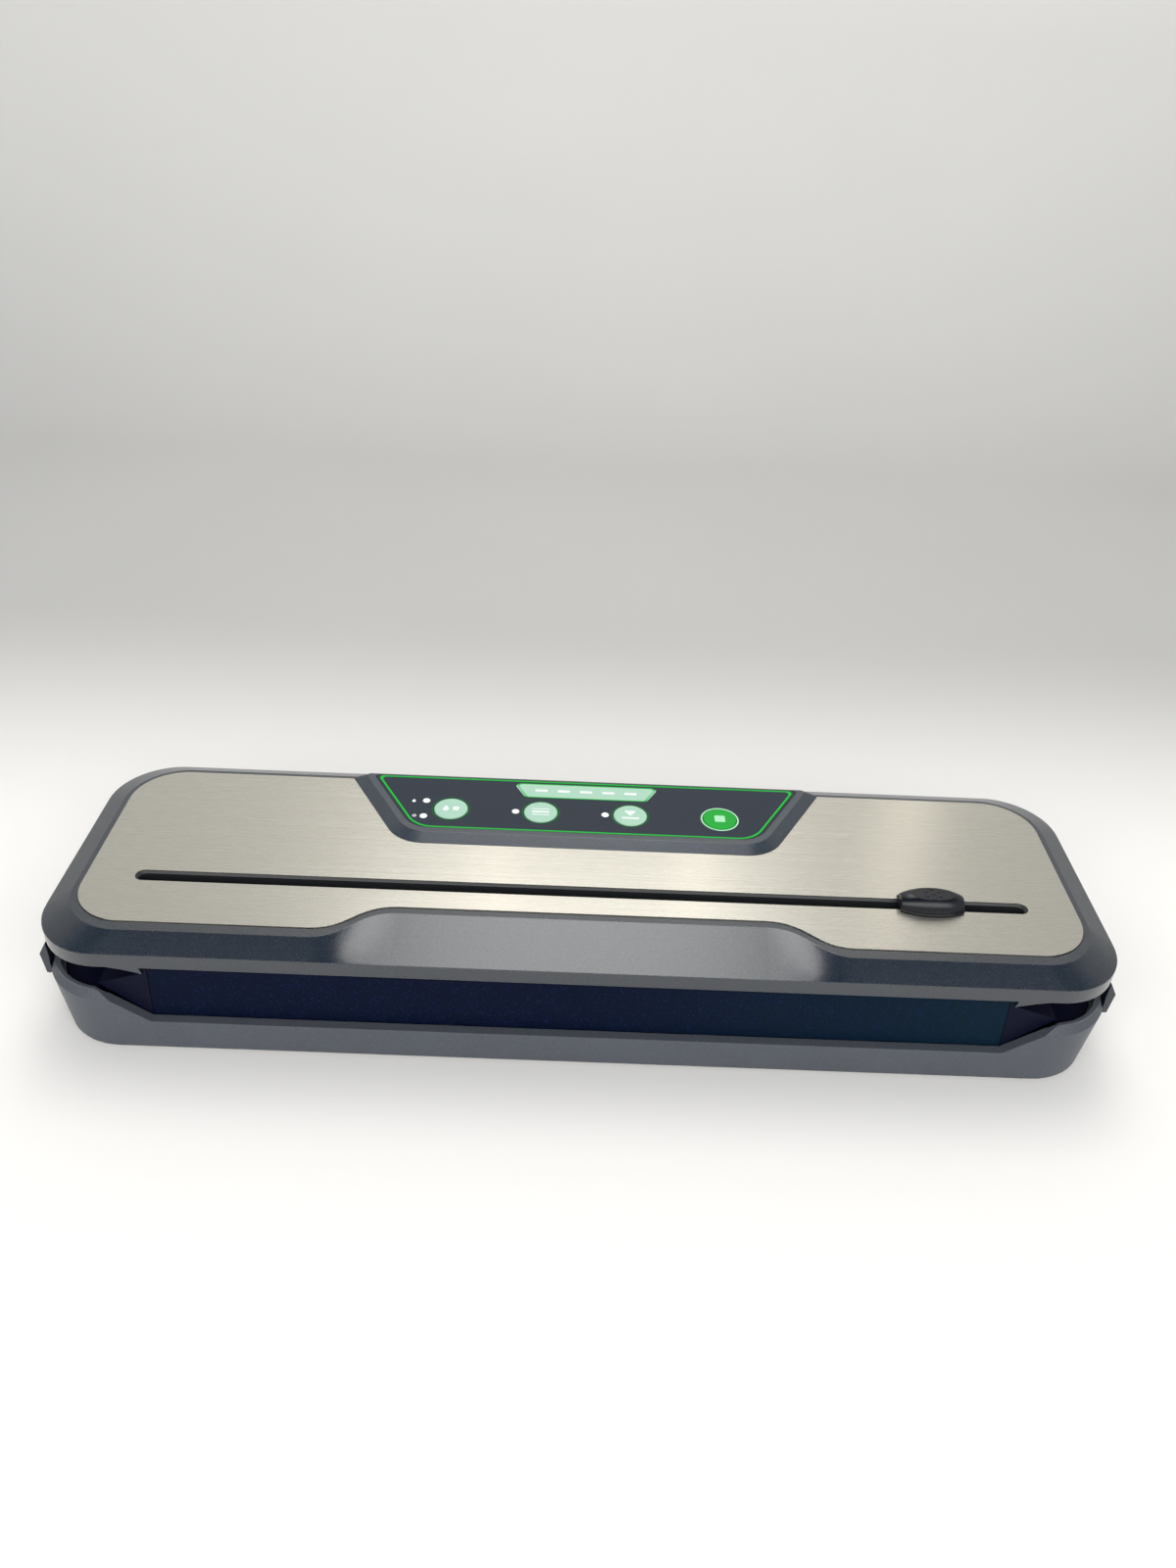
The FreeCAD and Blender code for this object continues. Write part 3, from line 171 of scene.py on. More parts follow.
# ---------------------------------------------------------------- colours
GUNMETAL = (0.0045, 0.0095, 0.0170)
POD_GUNMETAL = scaled(GUNMETAL, 1.6)
CASE_GREY = (0.068, 0.076, 0.090)
BLACK = (0.014, 0.015, 0.017)
TRAY_BLACK = (0.012, 0.012, 0.014)
DECK_NAVY = (0.0022, 0.0030, 0.0125)
APRON_NAVY = (0.0012, 0.0035, 0.0150)
# Painted light: the lit teal that the apron's right half turns to.
APRON_PAINTED_LIGHT_TEAL = (0.0020, 0.0120, 0.0240)
KNOB_CHARCOAL = (0.0030, 0.0042, 0.0075)
COMPONENT_BLACK = (0.03, 0.03, 0.032)
FEET_BLACK = (0.018, 0.018, 0.019)
FOAM_BLACK = (0.020, 0.020, 0.022)
SILICONE_GREY = (0.050, 0.050, 0.052)
SILICONE_CLEAR = (0.55, 0.53, 0.50)
ZINC = (0.56, 0.56, 0.55)
NICHROME = (0.50, 0.47, 0.43)
MOTOR_STEEL = (0.62, 0.61, 0.59)
PLATE_STEEL = (0.56, 0.54, 0.485)
BRASS = (0.78, 0.62, 0.36)
LAMP_WHITE = (0.86, 0.87, 0.86)
KEY_GREEN = (0.010, 0.36, 0.035)
OVERLAY_SLATE = rgb(42, 49, 60)
MINT = rgb(168, 206, 185)
TAPE_GAP = rgb(96, 62, 34)
TAPE_THREAD = rgb(154, 108, 66)
TAPE_STAIN = rgb(84, 52, 30)
MASK_GREEN = rgb(14, 70, 38)
TRACK_GREEN = rgb(26, 104, 56)
CORE_VARNISH = rgb(46, 40, 38)
CORE_STEEL = rgb(108, 100, 96)
PRINT_GREEN = (0.008, 0.42, 0.040)
PRINT_DEEP_GREEN = rgb(6, 92, 34)
PRINT_PALE_GREEN = rgb(170, 226, 184)
PRINT_WHITE = (0.80, 0.83, 0.82)


# ---------------------------------------------------------------- materials
CASE_EDGE_RADIUS = 0.45 * MM
CLOUD_SIZE = 22 * MM
FLAKE_SIZE = 0.34 * MM
FLAKE_THRESHOLD = 0.90
FLAKE_BRIGHTNESS = 6.0
# Painted light: the span along X over which the lit colour takes over towards the right.
PAINTED_LIGHT_SPAN_X = (0.0, 0.15)

ABS_CLOUD_SIZE = 14 * MM
ABS_VARIATION = 0.18

FUZZ_SIZE = 0.25 * MM
PORE_SHARE = 0.35
RUBBER_CONTRAST = (0.25, 0.75)

BRUSH_LINE = (60 * MM, 0.20 * MM, 0.20 * MM)
LONG_BRUSH = 2.6
BRUSH_DEPTH = 0.0006 * MM
BRUSH_CONTRAST = (0.38, 0.62)
BRUSH_ANISOTROPY = 0.72

WEAR_SIZE = 1.2 * MM
WEAR_DEPTH = 0.004 * MM

PEEL_SIZE = 0.9 * MM
PEEL_DEPTH = 0.0015 * MM
PRINT_DOT_SIZE = 0.22 * MM

THREAD_PITCH = 1.5 * MM
THREAD_DEPTH = 0.05 * MM
WEAVE_CONTRAST = (0.4, 1.0)
STAIN_SIZE = 9 * MM
STAIN_SPAN = (0.45, 0.7)
STAIN_STRENGTH = 0.5

TRACK_SIZE = 2.2 * MM
TRACK_DEPTH = 0.02 * MM
TRACK_CONTRAST = (0.45, 0.55)
CORE_SHEET_PITCH = 2.5 * MM
CORE_SHEET_DEPTH = 0.05 * MM


def pearl_plastic(name, colour, rough, spark, ior=1.5, grain=0.30 * MM, depth=0.012 * MM,
                  coat=0.0, painted_right_light=None, edge=CASE_EDGE_RADIUS):
    """Moulded plastic with fine bright flakes, a leathery micro grain and cloudy variation."""
    look = Look(name, roughness=rough, ior=ior, coat=coat, coat_roughness=0.22)
    clouds = look.noise(CLOUD_SIZE, 3.0)
    grains = look.noise(grain, 2.0, 0.6)
    base = look.tint(clouds, SOFT_CONTRAST, scaled(colour, 0.92), scaled(colour, 1.08))
    base = look.tint(grains, FIRM_CONTRAST, base, scaled(colour, 1.25))
    # Painted light: from the middle towards the right the colour turns to a lighter teal, the way
    # light falls on that side of one plastic part.
    if painted_right_light:
        base = look.tint(look.axis("X"), PAINTED_LIGHT_SPAN_X, base, painted_right_light)
    flakes = look.remap(look.cells(FLAKE_SIZE), FLAKE_THRESHOLD, 1.0, 0.0, spark)
    look.colour(look.blend(flakes, base, scaled(colour, FLAKE_BRIGHTNESS)))
    look.rough(grains, rough - 0.04, rough + 0.05)
    look.round_edges(edge)
    look.bump(grains, depth)
    return look.material


def satin_plastic(name, colour, rough=0.5, grain=0.35 * MM, depth=0.02 * MM, coat=0.0):
    """Plain moulded plastic with a spark-eroded texture."""
    look = Look(name, roughness=rough, coat=coat, coat_roughness=0.2)
    clouds = look.noise(ABS_CLOUD_SIZE, 3.0)
    grains = look.noise(grain, 3.0, 0.6)
    dark = scaled(colour, 1 - ABS_VARIATION)
    light = scaled(colour, 1 + ABS_VARIATION)
    look.colour(look.tint(look.average(clouds, grains), FIRM_CONTRAST, dark, light))
    look.rough(grains, rough - 0.07, rough + 0.07)
    look.bump(grains, depth)
    return look.material


def rubber(name, colour, rough=0.75, pore=0.9 * MM, depth=0.05 * MM):
    """Soft rubber or closed foam with small pores and a dusty sheen."""
    look = Look(name, roughness=rough, sheen=0.25)
    pores = look.math("MULTIPLY", look.cells(pore), PORE_SHARE)
    fuzz = look.noise(FUZZ_SIZE, 3.0, 0.65)
    mixed = look.math("ADD", pores, look.math("MULTIPLY", fuzz, 1 - PORE_SHARE))
    look.colour(look.tint(mixed, RUBBER_CONTRAST, scaled(colour, 0.7), scaled(colour, 1.35)))
    look.rough(fuzz, rough - 0.08, rough + 0.08)
    look.bump(mixed, depth)
    return look.material


def brushed_steel(name, colour, rough):
    """Sheet steel brushed along X: highlights stretch across the brushing."""
    look = Look(name, metallic=1.0, roughness=rough)
    look.set("Anisotropic", BRUSH_ANISOTROPY)
    tangent = look.add("ShaderNodeTangent", direction_type="RADIAL", axis="X")
    look.link("Tangent", tangent.outputs["Tangent"])
    brush = look.noise(BRUSH_LINE, 3.0, 0.6)
    long_brush = look.noise(scaled(BRUSH_LINE, LONG_BRUSH), 2.0, 0.5)
    both = look.average(brush, long_brush)
    look.colour(look.tint(both, BRUSH_CONTRAST, scaled(colour, 0.97), scaled(colour, 1.03)))
    look.rough(both, rough - 0.03, rough + 0.04)
    look.bump(both, BRUSH_DEPTH)
    return look.material


def worn_metal(name, colour, rough=0.35):
    """Plated metal with soft rub marks."""
    look = Look(name, metallic=1.0, roughness=rough)
    marks = look.noise(WEAR_SIZE, 4.0, 0.6)
    look.colour(look.tint(marks, SOFT_CONTRAST, scaled(colour, 0.8), scaled(colour, 1.1)))
    look.rough(marks, rough - 0.1, rough + 0.12)
    look.bump(marks, WEAR_DEPTH)
    return look.material


def printed_film(name, colour, rough=0.35, glow=0.0):
    """Printed polyester film with faint orange peel."""
    look = Look(name, roughness=rough, coat_roughness=0.12, ior=1.25)
    peel = look.noise(PEEL_SIZE, 2.0)
    dots = look.noise(PRINT_DOT_SIZE, 2.0, 0.6)
    look.colour(look.tint(dots, FIRM_CONTRAST, scaled(colour, 0.95), scaled(colour, 1.05)))
    look.rough(peel, rough - 0.03, rough + 0.04)
    look.bump(peel, PEEL_DEPTH)
    # A glow makes the film give light: for the lamp lens it is the lamp's own light, for the green
    # print it is a painted glow.
    if glow:
        look.set("Emission Color", (*colour, 1))
        look.set("Emission Strength", glow)
    return look.material


def woven_tape(name):
    """Glass cloth coated with PTFE: a fine plain weave under a waxy skin."""
    look = Look(name, roughness=0.42, coat=0.15, coat_roughness=0.3)
    weave = look.math("MAXIMUM", look.waves(THREAD_PITCH, "X"), look.waves(THREAD_PITCH, "Y"))
    tone = look.tint(weave, WEAVE_CONTRAST, TAPE_GAP, TAPE_THREAD)
    stains = look.remap(look.noise(STAIN_SIZE, 4.0), *STAIN_SPAN, 0.0, STAIN_STRENGTH)
    look.colour(look.blend(stains, tone, TAPE_STAIN))
    look.bump(weave, THREAD_DEPTH)
    return look.material


def circuit_board(name):
    """Green solder mask with paler tracks."""
    look = Look(name, roughness=0.3, coat=0.4)
    tracks = look.cells(TRACK_SIZE)
    look.colour(look.tint(tracks, TRACK_CONTRAST, MASK_GREEN, TRACK_GREEN))
    look.rough(look.noise(3 * MM), 0.25, 0.4)
    look.bump(tracks, TRACK_DEPTH)
    return look.material


def laminated_core(name):
    """Stacked sheets of transformer steel with varnish."""
    look = Look(name, metallic=0.8, roughness=0.45)
    sheets = look.waves(CORE_SHEET_PITCH, "Y")
    look.colour(look.blend(sheets, CORE_VARNISH, CORE_STEEL))
    look.rough(look.noise(2 * MM), 0.35, 0.55)
    look.bump(sheets, CORE_SHEET_DEPTH)
    return look.material


# ---------------------------------------------------------------- CAD node finishes
def cad_looks():
    """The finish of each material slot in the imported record."""
    return {
        "shell_plastic": pearl_plastic("gunmetal_pearl", GUNMETAL, 0.28, 0.6, ior=1.7, coat=0.4),
        "under_plastic": satin_plastic("black_abs", BLACK, rough=0.45),
        "feet_rubber": rubber("feet_rubber_look", FEET_BLACK),
        "fastener_steel": worn_metal("zinc_steel", ZINC),
        "deck_plastic": pearl_plastic("deck_navy", DECK_NAVY, 0.50, 0.3, ior=1.2,
                                      depth=0.02 * MM),
        "apron_plastic": pearl_plastic("navy_pearl", APRON_NAVY, 0.50, 0.8, ior=1.15,
                                       grain=0.45 * MM, depth=0.03 * MM, painted_right_light=APRON_PAINTED_LIGHT_TEAL),
        "tray_plastic": satin_plastic("tray_black", TRAY_BLACK, rough=0.3, depth=0.006 * MM,
                                      coat=0.3),
        "gasket_rubber": rubber("gasket_foam", FOAM_BLACK),
        "carrier_rubber": rubber("silicone_grey", SILICONE_GREY, rough=0.6, pore=2 * MM,
                                 depth=0.02 * MM),
        "heater_metal": brushed_steel("nichrome", NICHROME, 0.30),
        "heat_tape": woven_tape("ptfe_glass_cloth"),
        "hose_rubber": rubber("hose_silicone", SILICONE_CLEAR, rough=0.4, depth=0.01 * MM),
        "motor_metal": brushed_steel("motor_can", MOTOR_STEEL, 0.32),
        "core_metal": laminated_core("core_sheets"),
        "board_plastic": circuit_board("solder_mask"),
        "component_plastic": satin_plastic("component_body", COMPONENT_BLACK, rough=0.35,
                                           grain=0.6 * MM),
        "pin_brass": worn_metal("pin_brass_look", BRASS, rough=0.25),
        "button_plastic": pearl_plastic("latch_pearl", GUNMETAL, 0.36, 0.3, ior=1.7),
        "top_steel": brushed_steel("brushed_steel_top", PLATE_STEEL, 0.26),
        "pod_plastic": pearl_plastic("pod_pearl", POD_GUNMETAL, 0.34, 0.6, ior=1.8,
                                     depth=0.016 * MM),
        "overlay_film": printed_film("overlay_slate", OVERLAY_SLATE, rough=0.42),
        "window_film": printed_film("window_mint", MINT, rough=0.4),
        "lamp_white": printed_film("lamp_lens", LAMP_WHITE, rough=0.3, glow=0.25),
        "key_pale": printed_film("key_mint", MINT, rough=0.4),
        "key_green": printed_film("key_green_look", KEY_GREEN, rough=0.35),
        "knob_plastic": pearl_plastic("knob_charcoal", KNOB_CHARCOAL, 0.26, 0.2, ior=1.42,
                                      grain=0.2 * MM, depth=0.003 * MM, edge=0.05 * MM),
    }


def finish_cad_nodes(looks):
    for node in nodes.values():
        for slot in node.material_slots:
            slot.material = looks[slot.material.name.split(".")[0]]
    case_look = pearl_plastic("case_pearl", CASE_GREY, 0.42, 0.08, ior=1.32)
    for slot in nodes["base_shell"].material_slots:
        slot.material = case_look


SOFT_EDGES = {"steel_plate": 0.12 * MM, "latch_button_right": 0.2 * MM,
              "latch_button_left": 0.2 * MM, "front_apron": 0.2 * MM, "cutter_rail": 0.1 * MM,
              "lid_liner": 0.3 * MM, "chamber_tray": 0.25 * MM}
WELD_DISTANCE = 0.002 * MM
FLAT_ANGLE = math.radians(0.6)
SHARP_ANGLE = math.radians(32)
EDGE_SEGMENTS = 2


def soften_edges(name, width):
    """Rounds the sharp edges of a CAD node with modifiers, leaving its mesh alone."""
    piece = nodes[name]
    weld = piece.modifiers.new("weld", "WELD")
    weld.merge_threshold = WELD_DISTANCE
    flat = piece.modifiers.new("flat", "DECIMATE")
    flat.decimate_type = "DISSOLVE"
    flat.angle_limit = FLAT_ANGLE
    bevel = piece.modifiers.new("bevel", "BEVEL")
    bevel.width = width
    bevel.segments = EDGE_SEGMENTS
    bevel.limit_method = "ANGLE"
    bevel.angle_limit = SHARP_ANGLE
    bevel.use_clamp_overlap = True
    bevel.harden_normals = True
    bevel.miter_outer = "MITER_ARC"


# ---------------------------------------------------------------- mesh helpers
def mesh_object(name, made, material):
    """Turns a bmesh into an object of the scene, and frees the bmesh."""
    mesh = bpy.data.meshes.new(name)
    made.to_mesh(mesh)
    made.free()
    mesh.materials.append(material)
    result = bpy.data.objects.new(name, mesh)
    bpy.context.scene.collection.objects.link(result)
    return result


def mesh_piece(name, build, material, body):
    """A new piece made by build(bmesh), with normals made consistent, riding on a body."""
    made = bmesh.new()
    build(made)
    bmesh.ops.recalc_face_normals(made, faces=made.faces)
    piece = mesh_object(name, made, material)
    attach(piece, body)
    return piece


def smooth(piece):
    for face in piece.data.polygons:
        face.use_smooth = True


def rounded_path(corners, radii, steps=10):
    """Points of a closed polygon whose corners are rounded by arcs."""
    points = []
    count = len(corners)
    for i in range(count):
        corner = Vector(corners[i])
        back = (Vector(corners[i - 1]) - corner).normalized()
        ahead = (Vector(corners[(i + 1) % count]) - corner).normalized()
        half = back.angle(ahead) / 2
        start = corner + back * (radii[i] / math.tan(half))
        centre = corner + (back + ahead).normalized() * (radii[i] / math.sin(half))
        sweep = math.pi - 2 * half
        turn = 1 if back.cross(ahead) < 0 else -1
        spoke = start - centre
        for step in range(steps + 1):
            points.append(centre + Matrix.Rotation(turn * sweep * step / steps, 2) @ spoke)
    return points


def trapezoid(front_half, rear_half, y0, y1):
    return [(-front_half, y0), (front_half, y0), (rear_half, y1), (-rear_half, y1)]


def circle(x, y, radius, steps=64):
    angles = [2 * math.pi * i / steps for i in range(steps)]
    return [Vector((x + radius * math.cos(a), y + radius * math.sin(a))) for a in angles]


def bar(x, y, width, height, radius):
    """Rounded rectangle about a middle point."""
    half = width / 2
    corners = [(x - half, y - height / 2), (x + half, y - height / 2),
               (x + half, y + height / 2), (x - half, y + height / 2)]
    return rounded_path(corners, [radius] * 4, 5)


def droplet(x, y, size):
    """Drop with its point to the back."""
    count = 28
    stretch = 0.75
    points = []
    for i in range(count):
        a = 2 * math.pi * i / count
        pull = stretch * (0.5 + 0.5 * math.sin(a)) ** 3
        points.append(Vector((x + size * math.cos(a) * (1 - pull),
                              y + size * (math.sin(a) + pull))))
    return points


def loop(made, points, z):
    return [made.verts.new((p.x, p.y, z)) for p in points]


def bridge(made, lower, upper):
    count = len(lower)
    for i in range(count):
        k = (i + 1) % count
        made.faces.new((lower[i], lower[k], upper[k], upper[i]))


def band(made, outer, inner, z0, z1, crown=0.0):
    """Closed ring between two outlines with as many points each, its middle raised by crown."""
    low_out = loop(made, outer, z0)
    low_in = loop(made, inner, z0)
    high_out = loop(made, outer, z1)
    high_in = loop(made, inner, z1)
    middle = loop(made, [(a + b) / 2 for a, b in zip(outer, inner)], z1 + crown)
    bridge(made, low_out, high_out)
    bridge(made, high_out, middle)
    bridge(made, middle, high_in)
    bridge(made, high_in, low_in)
    bridge(made, low_in, low_out)


def plaque(made, outline, z0, z1, edge=0.04 * MM):
    """Thin raised patch with a softened rim."""
    centre = sum(outline, Vector((0, 0))) / len(outline)
    inner = [point + (centre - point).normalized() * edge for point in outline]
    low = loop(made, outline, z0)
    high = loop(made, outline, z1 - edge)
    top = loop(made, inner, z1)
    bridge(made, low, high)
    bridge(made, high, top)
    made.faces.new(top)
    made.faces.new(list(reversed(low)))


# ---------------------------------------------------------------- control pod print
overlay_low, overlay_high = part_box("control_overlay")
window_low, window_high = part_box("progress_window")
PRINT_Z0 = overlay_high.z - 0.1 * MM
PRINT_Z1 = overlay_high.z + 0.05 * MM
PRINT_CROWN = 0.02 * MM
POD_SLOPE = 0.578
OVERLAY_FRONT_R = 11.6 * MM
OVERLAY_REAR_R = 1.5 * MM
WINDOW_SLANT = 5 * MM
WINDOW_R = 1.5 * MM

# The inset at the front and sides, then the one at the back.
LINE_EDGE_INSETS = (0.05 * MM, 0.05 * MM)
LINE_OUTER_INSETS = (0.45 * MM, 0.25 * MM)
LINE_INNER_INSETS = (1.15 * MM, 0.95 * MM)
WINDOW_LINE_OUT = 0.45 * MM
WINDOW_LINE_IN = -0.05 * MM

DASH_COUNT = 5
DASH_WIDTH = 5.1 * MM
DASH_HEIGHT = 1.5 * MM
DASH_R = 0.3 * MM
RING_OUT = 0.95 * MM
RING_IN = 0.3 * MM
MARK_SINK = 0.05 * MM
MARK_RISE = 0.04 * MM
MARK_EDGE = 0.02 * MM

# A bar or square is its width, height and corner radius.
SEAL_BAR = (7 * MM, 1.1 * MM, 0.3 * MM)
SEAL_LINE = (7 * MM, 0.5 * MM, 0.2 * MM)
SEAL_OFFSET = 1.9 * MM
MODE_SQUARE = (2.4 * MM, 2.4 * MM, 0.4 * MM)
MODE_DROP_SIZE = 1.3 * MM
MODE_OFFSET = 2 * MM
MODE_DROP_LOWER = 0.4 * MM
TRIANGLE_HALF = 2.6 * MM
TRIANGLE_TIP_Y = -0.4 * MM
TRIANGLE_BASE_Y = 3.0 * MM
TRIANGLE_R = 0.3 * MM
STOP_SQUARE = (4.2 * MM, 4.2 * MM, 0.5 * MM)

LAMP_DROP_SIZE = 0.8 * MM
LAMP_DROP_LEFT = 3.6 * MM
LAMP_DROP_LOWER = 2.0 * MM
LAMP_RING_LEFT = 2.2 * MM
LAMP_RING_HIGHER = 1.45 * MM
LAMP_RING_OUT_R = 0.8 * MM
LAMP_RING_IN_R = 0.45 * MM
LAMP_RING_STEPS = 32


def overlay_outline(inset, rear_inset):
    """The overlay's trapezoid, moved in by inset at the front and sides, rear_inset behind."""
    depth = overlay_high.y - overlay_low.y
    side = inset * math.hypot(1, POD_SLOPE)
    rear = overlay_high.x - side - rear_inset * POD_SLOPE
    front = overlay_high.x - POD_SLOPE * (depth - inset) - side
    corners = trapezoid(front, rear, overlay_low.y + inset, overlay_high.y - rear_inset)
    front_r = OVERLAY_FRONT_R - 0.5 * inset
    return rounded_path(corners, [front_r, front_r, OVERLAY_REAR_R, OVERLAY_REAR_R])


def window_outline(outset):
    rear = window_high.x + outset
    corners = trapezoid(rear - WINDOW_SLANT, rear, window_low.y - outset, window_high.y + outset)
    return rounded_path(corners, [WINDOW_R] * 4)


def key_outlines(name, x, y):
    """The generic mark on a key: drop and square, bar between lines, triangle on bar, square."""
    if name == "key_mode":
        return [droplet(x - MODE_OFFSET, y - MODE_DROP_LOWER, MODE_DROP_SIZE),
                bar(x + MODE_OFFSET, y, *MODE_SQUARE)]
    if name == "key_seal":
        return [bar(x, y, *SEAL_BAR), bar(x, y + SEAL_OFFSET, *SEAL_LINE),
                bar(x, y - SEAL_OFFSET, *SEAL_LINE)]
    if name == "key_vacuum_seal":
        triangle = [(x, y + TRIANGLE_TIP_Y), (x + TRIANGLE_HALF, y + TRIANGLE_BASE_Y),
                    (x - TRIANGLE_HALF, y + TRIANGLE_BASE_Y)]
        return [rounded_path(triangle, [TRIANGLE_R] * 3, 4), bar(x, y - SEAL_OFFSET, *SEAL_BAR)]
    return [bar(x, y, *STOP_SQUARE)]


def build_key_print(name, ring_look, mark_look):
    """The printed ring round a key, on the lid, and the mark on it, on the key's own body."""
    low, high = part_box(name)
    x, y = (low.x + high.x) / 2, (low.y + high.y) / 2
    radius = (high.x - low.x) / 2

    def ring(made):
        band(made, circle(x, y, radius + RING_OUT), circle(x, y, radius + RING_IN),
             PRINT_Z0, PRINT_Z1, PRINT_CROWN)

    def mark(made):
        for outline in key_outlines(name, x, y):
            plaque(made, outline, high.z - MARK_SINK, high.z + MARK_RISE, MARK_EDGE)

    mesh_piece(name + "_ring", ring, ring_look, "lid")
    mesh_piece(name + "_mark", mark, mark_look, name + "_body")


def build_dashes(made):
    low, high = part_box("progress_leds")
    pitch = (high.x - low.x - DASH_WIDTH) / (DASH_COUNT - 1)
    for i in range(DASH_COUNT):
        x = low.x + DASH_WIDTH / 2 + pitch * i
        outline = bar(x, (low.y + high.y) / 2, DASH_WIDTH, DASH_HEIGHT, DASH_R)
        plaque(made, outline, PRINT_Z0, PRINT_Z1)


def build_lamp_marks(made):
    """A drop and a ring, one beside each of the mode key's two lamps."""
    low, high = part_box("indicator_lenses")
    drop = droplet(low.x - LAMP_DROP_LEFT, high.y - LAMP_DROP_LOWER, LAMP_DROP_SIZE)
    plaque(made, drop, PRINT_Z0, PRINT_Z1)
    x, y = low.x - LAMP_RING_LEFT, low.y + LAMP_RING_HIGHER
    band(made, circle(x, y, LAMP_RING_OUT_R, LAMP_RING_STEPS),
         circle(x, y, LAMP_RING_IN_R, LAMP_RING_STEPS), PRINT_Z0, PRINT_Z1)


def build_pod_print():
    """The thin raised print on the overlay and the keys."""
    # Painted glow: the green print shines a little, though it is no lamp.
    green = printed_film("print_green_glow", PRINT_GREEN, rough=0.35, glow=0.12)
    deep_green = printed_film("print_deep_green", PRINT_DEEP_GREEN, rough=0.4)
    white = printed_film("print_white", PRINT_WHITE, rough=0.4)
    pale = printed_film("print_pale_green", PRINT_PALE_GREEN, rough=0.4)

    def line(name, outer, inner, look):
        mesh_piece(name, lambda made: band(made, outer, inner, PRINT_Z0, PRINT_Z1, PRINT_CROWN),
                   look, "lid")

    line_outer = overlay_outline(*LINE_OUTER_INSETS)
    line("pod_line_edge", overlay_outline(*LINE_EDGE_INSETS), line_outer, deep_green)
    line("pod_line", line_outer, overlay_outline(*LINE_INNER_INSETS), green)
    line("window_line", window_outline(WINDOW_LINE_OUT), window_outline(WINDOW_LINE_IN), green)
    mesh_piece("progress_dashes", build_dashes, white, "lid")
    build_key_print("key_mode", deep_green, white)
    build_key_print("key_seal", deep_green, white)
    build_key_print("key_vacuum_seal", deep_green, white)
    build_key_print("key_stop", pale, pale)
    mesh_piece("lamp_marks", build_lamp_marks, white, "lid")


# ---------------------------------------------------------------- foam gaskets
FOAM_WIDTH = 4.0 * MM
FOAM_CORNER_R = 6.0 * MM
FOAM_SPACING = 6 * MM
# Across and up, as shares of the width and the height.
FOAM_SECTION = [(-0.46, 0.0), (-0.48, 0.35), (-0.44, 0.62), (-0.32, 0.86), (-0.16, 0.97),
                (0.0, 1.0), (0.16, 0.97), (0.32, 0.86), (0.44, 0.62), (0.48, 0.35), (0.46, 0.0)]


def foam_ring(name, node, height_sign, body, material):
    """D-shaped foam seal following the rounded groove that its CAD solid fills."""
    low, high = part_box(node)
    half = high.x - FOAM_WIDTH / 2
    corners = trapezoid(half, half, low.y + FOAM_WIDTH / 2, high.y - FOAM_WIDTH / 2)
    path = rounded_path(corners, [FOAM_CORNER_R] * 4, 12)
    spaced = []
    for i, point in enumerate(path):
        ahead = path[(i + 1) % len(path)]
        pieces = max(1, round((ahead - point).length / FOAM_SPACING))
        spaced += [point.lerp(ahead, k / pieces) for k in range(pieces)]
    seat = low.z if height_sign > 0 else high.z
    reach = (high.z - low.z) * height_sign

    def build(made):
        rings = []
        for i, point in enumerate(spaced):
            forward = (spaced[(i + 1) % len(spaced)] - spaced[i - 1]).normalized()
            side = Vector((forward.y, -forward.x))
            quick_wave = 0.012 * math.sin(i * 1.7)
            slow_wave = 0.010 * math.sin(i * 0.61 + 1.0)
            swell = 1 + quick_wave + slow_wave
            ring = []
            for across, up in FOAM_SECTION:
                spot = point + side * (across * FOAM_WIDTH * swell)
                ring.append(made.verts.new((spot.x, spot.y, seat + up * reach)))
            rings.append(ring)
        for i in range(len(rings)):
            bridge(made, rings[i], rings[(i + 1) % len(rings)])

    piece = mesh_piece(name, build, material, body)
    smooth(piece)
    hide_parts(node)


# ---------------------------------------------------------------- stage, lights and camera
COVE_Y = 0.58
COVE_R = 0.30
COVE_STEPS = 24
FLOOR_FRONT_Y = -5.0
WALL_TOP_Z = 2.6
STAGE_HALF_WIDTH = 4.0
FLOOR_COLOUR = (0.92, 0.905, 0.88)
# Painted shade on the floor and wall behind the object: two greys mixed in random blotches.
FAR_SHADE_DARK = (0.49, 0.485, 0.475)
FAR_SHADE_PALE = (0.52, 0.515, 0.505)
SHADE_FALLOFF_SPAN_Y = (0.03, 0.30)
BLOTCH_SIZE = 0.25
BLOTCH_STRENGTH = 0.35
WALL_GLOW = (0.24, 0.24, 0.232)
GLOW_SPAN_Z = (0.0, 0.45)

WALL_LIGHT = (0.70, 0.71, 0.70)
CEILING_LIGHT = (0.008, 0.030, 0.070)
# Where the walls end and the ceiling starts, as the Z of a unit vector.
WALL_END = 0.55
CEILING_START = 0.85

# Name, place, target, width and height in metres, watts, colour.
PANELS = (("top_panel", (0, 0.42, 1.2), (0, 0.30, 0), 0.60, 0.80, 6.0, (1.0, 0.99, 0.97)),
          ("front_fill", (0, -1.30, 1.10), (0, 0, 0.03), 3.0, 0.8, 27.0, (1.0, 0.99, 0.98)))
# Name, x, width, watts.
STREAKS = (("streak_left", -0.10, 0.03, 0.035),
           ("streak_middle", 0.15, 0.02, 0.045),
           ("streak_right", 0.40, 0.025, 0.06))
STREAK_Y = 0.80
STREAK_Z = 0.60
STREAK_AIM_SHARE = 0.2
STREAK_AIM_Z = 0.05
STREAK_LENGTH = 0.35
STREAK_COLOUR = (1.0, 0.93, 0.80)

CAMERA_PLACE = (-0.00445, -0.35761, 0.33423)
CAMERA_YAW = 0.0128
CAMERA_PITCH = 0.6073
CAMERA_ROLL = 0.0471
CAMERA_LENS = 26.97
CAMERA_SENSOR = 36
CAMERA_CLIP = (0.01, 50)


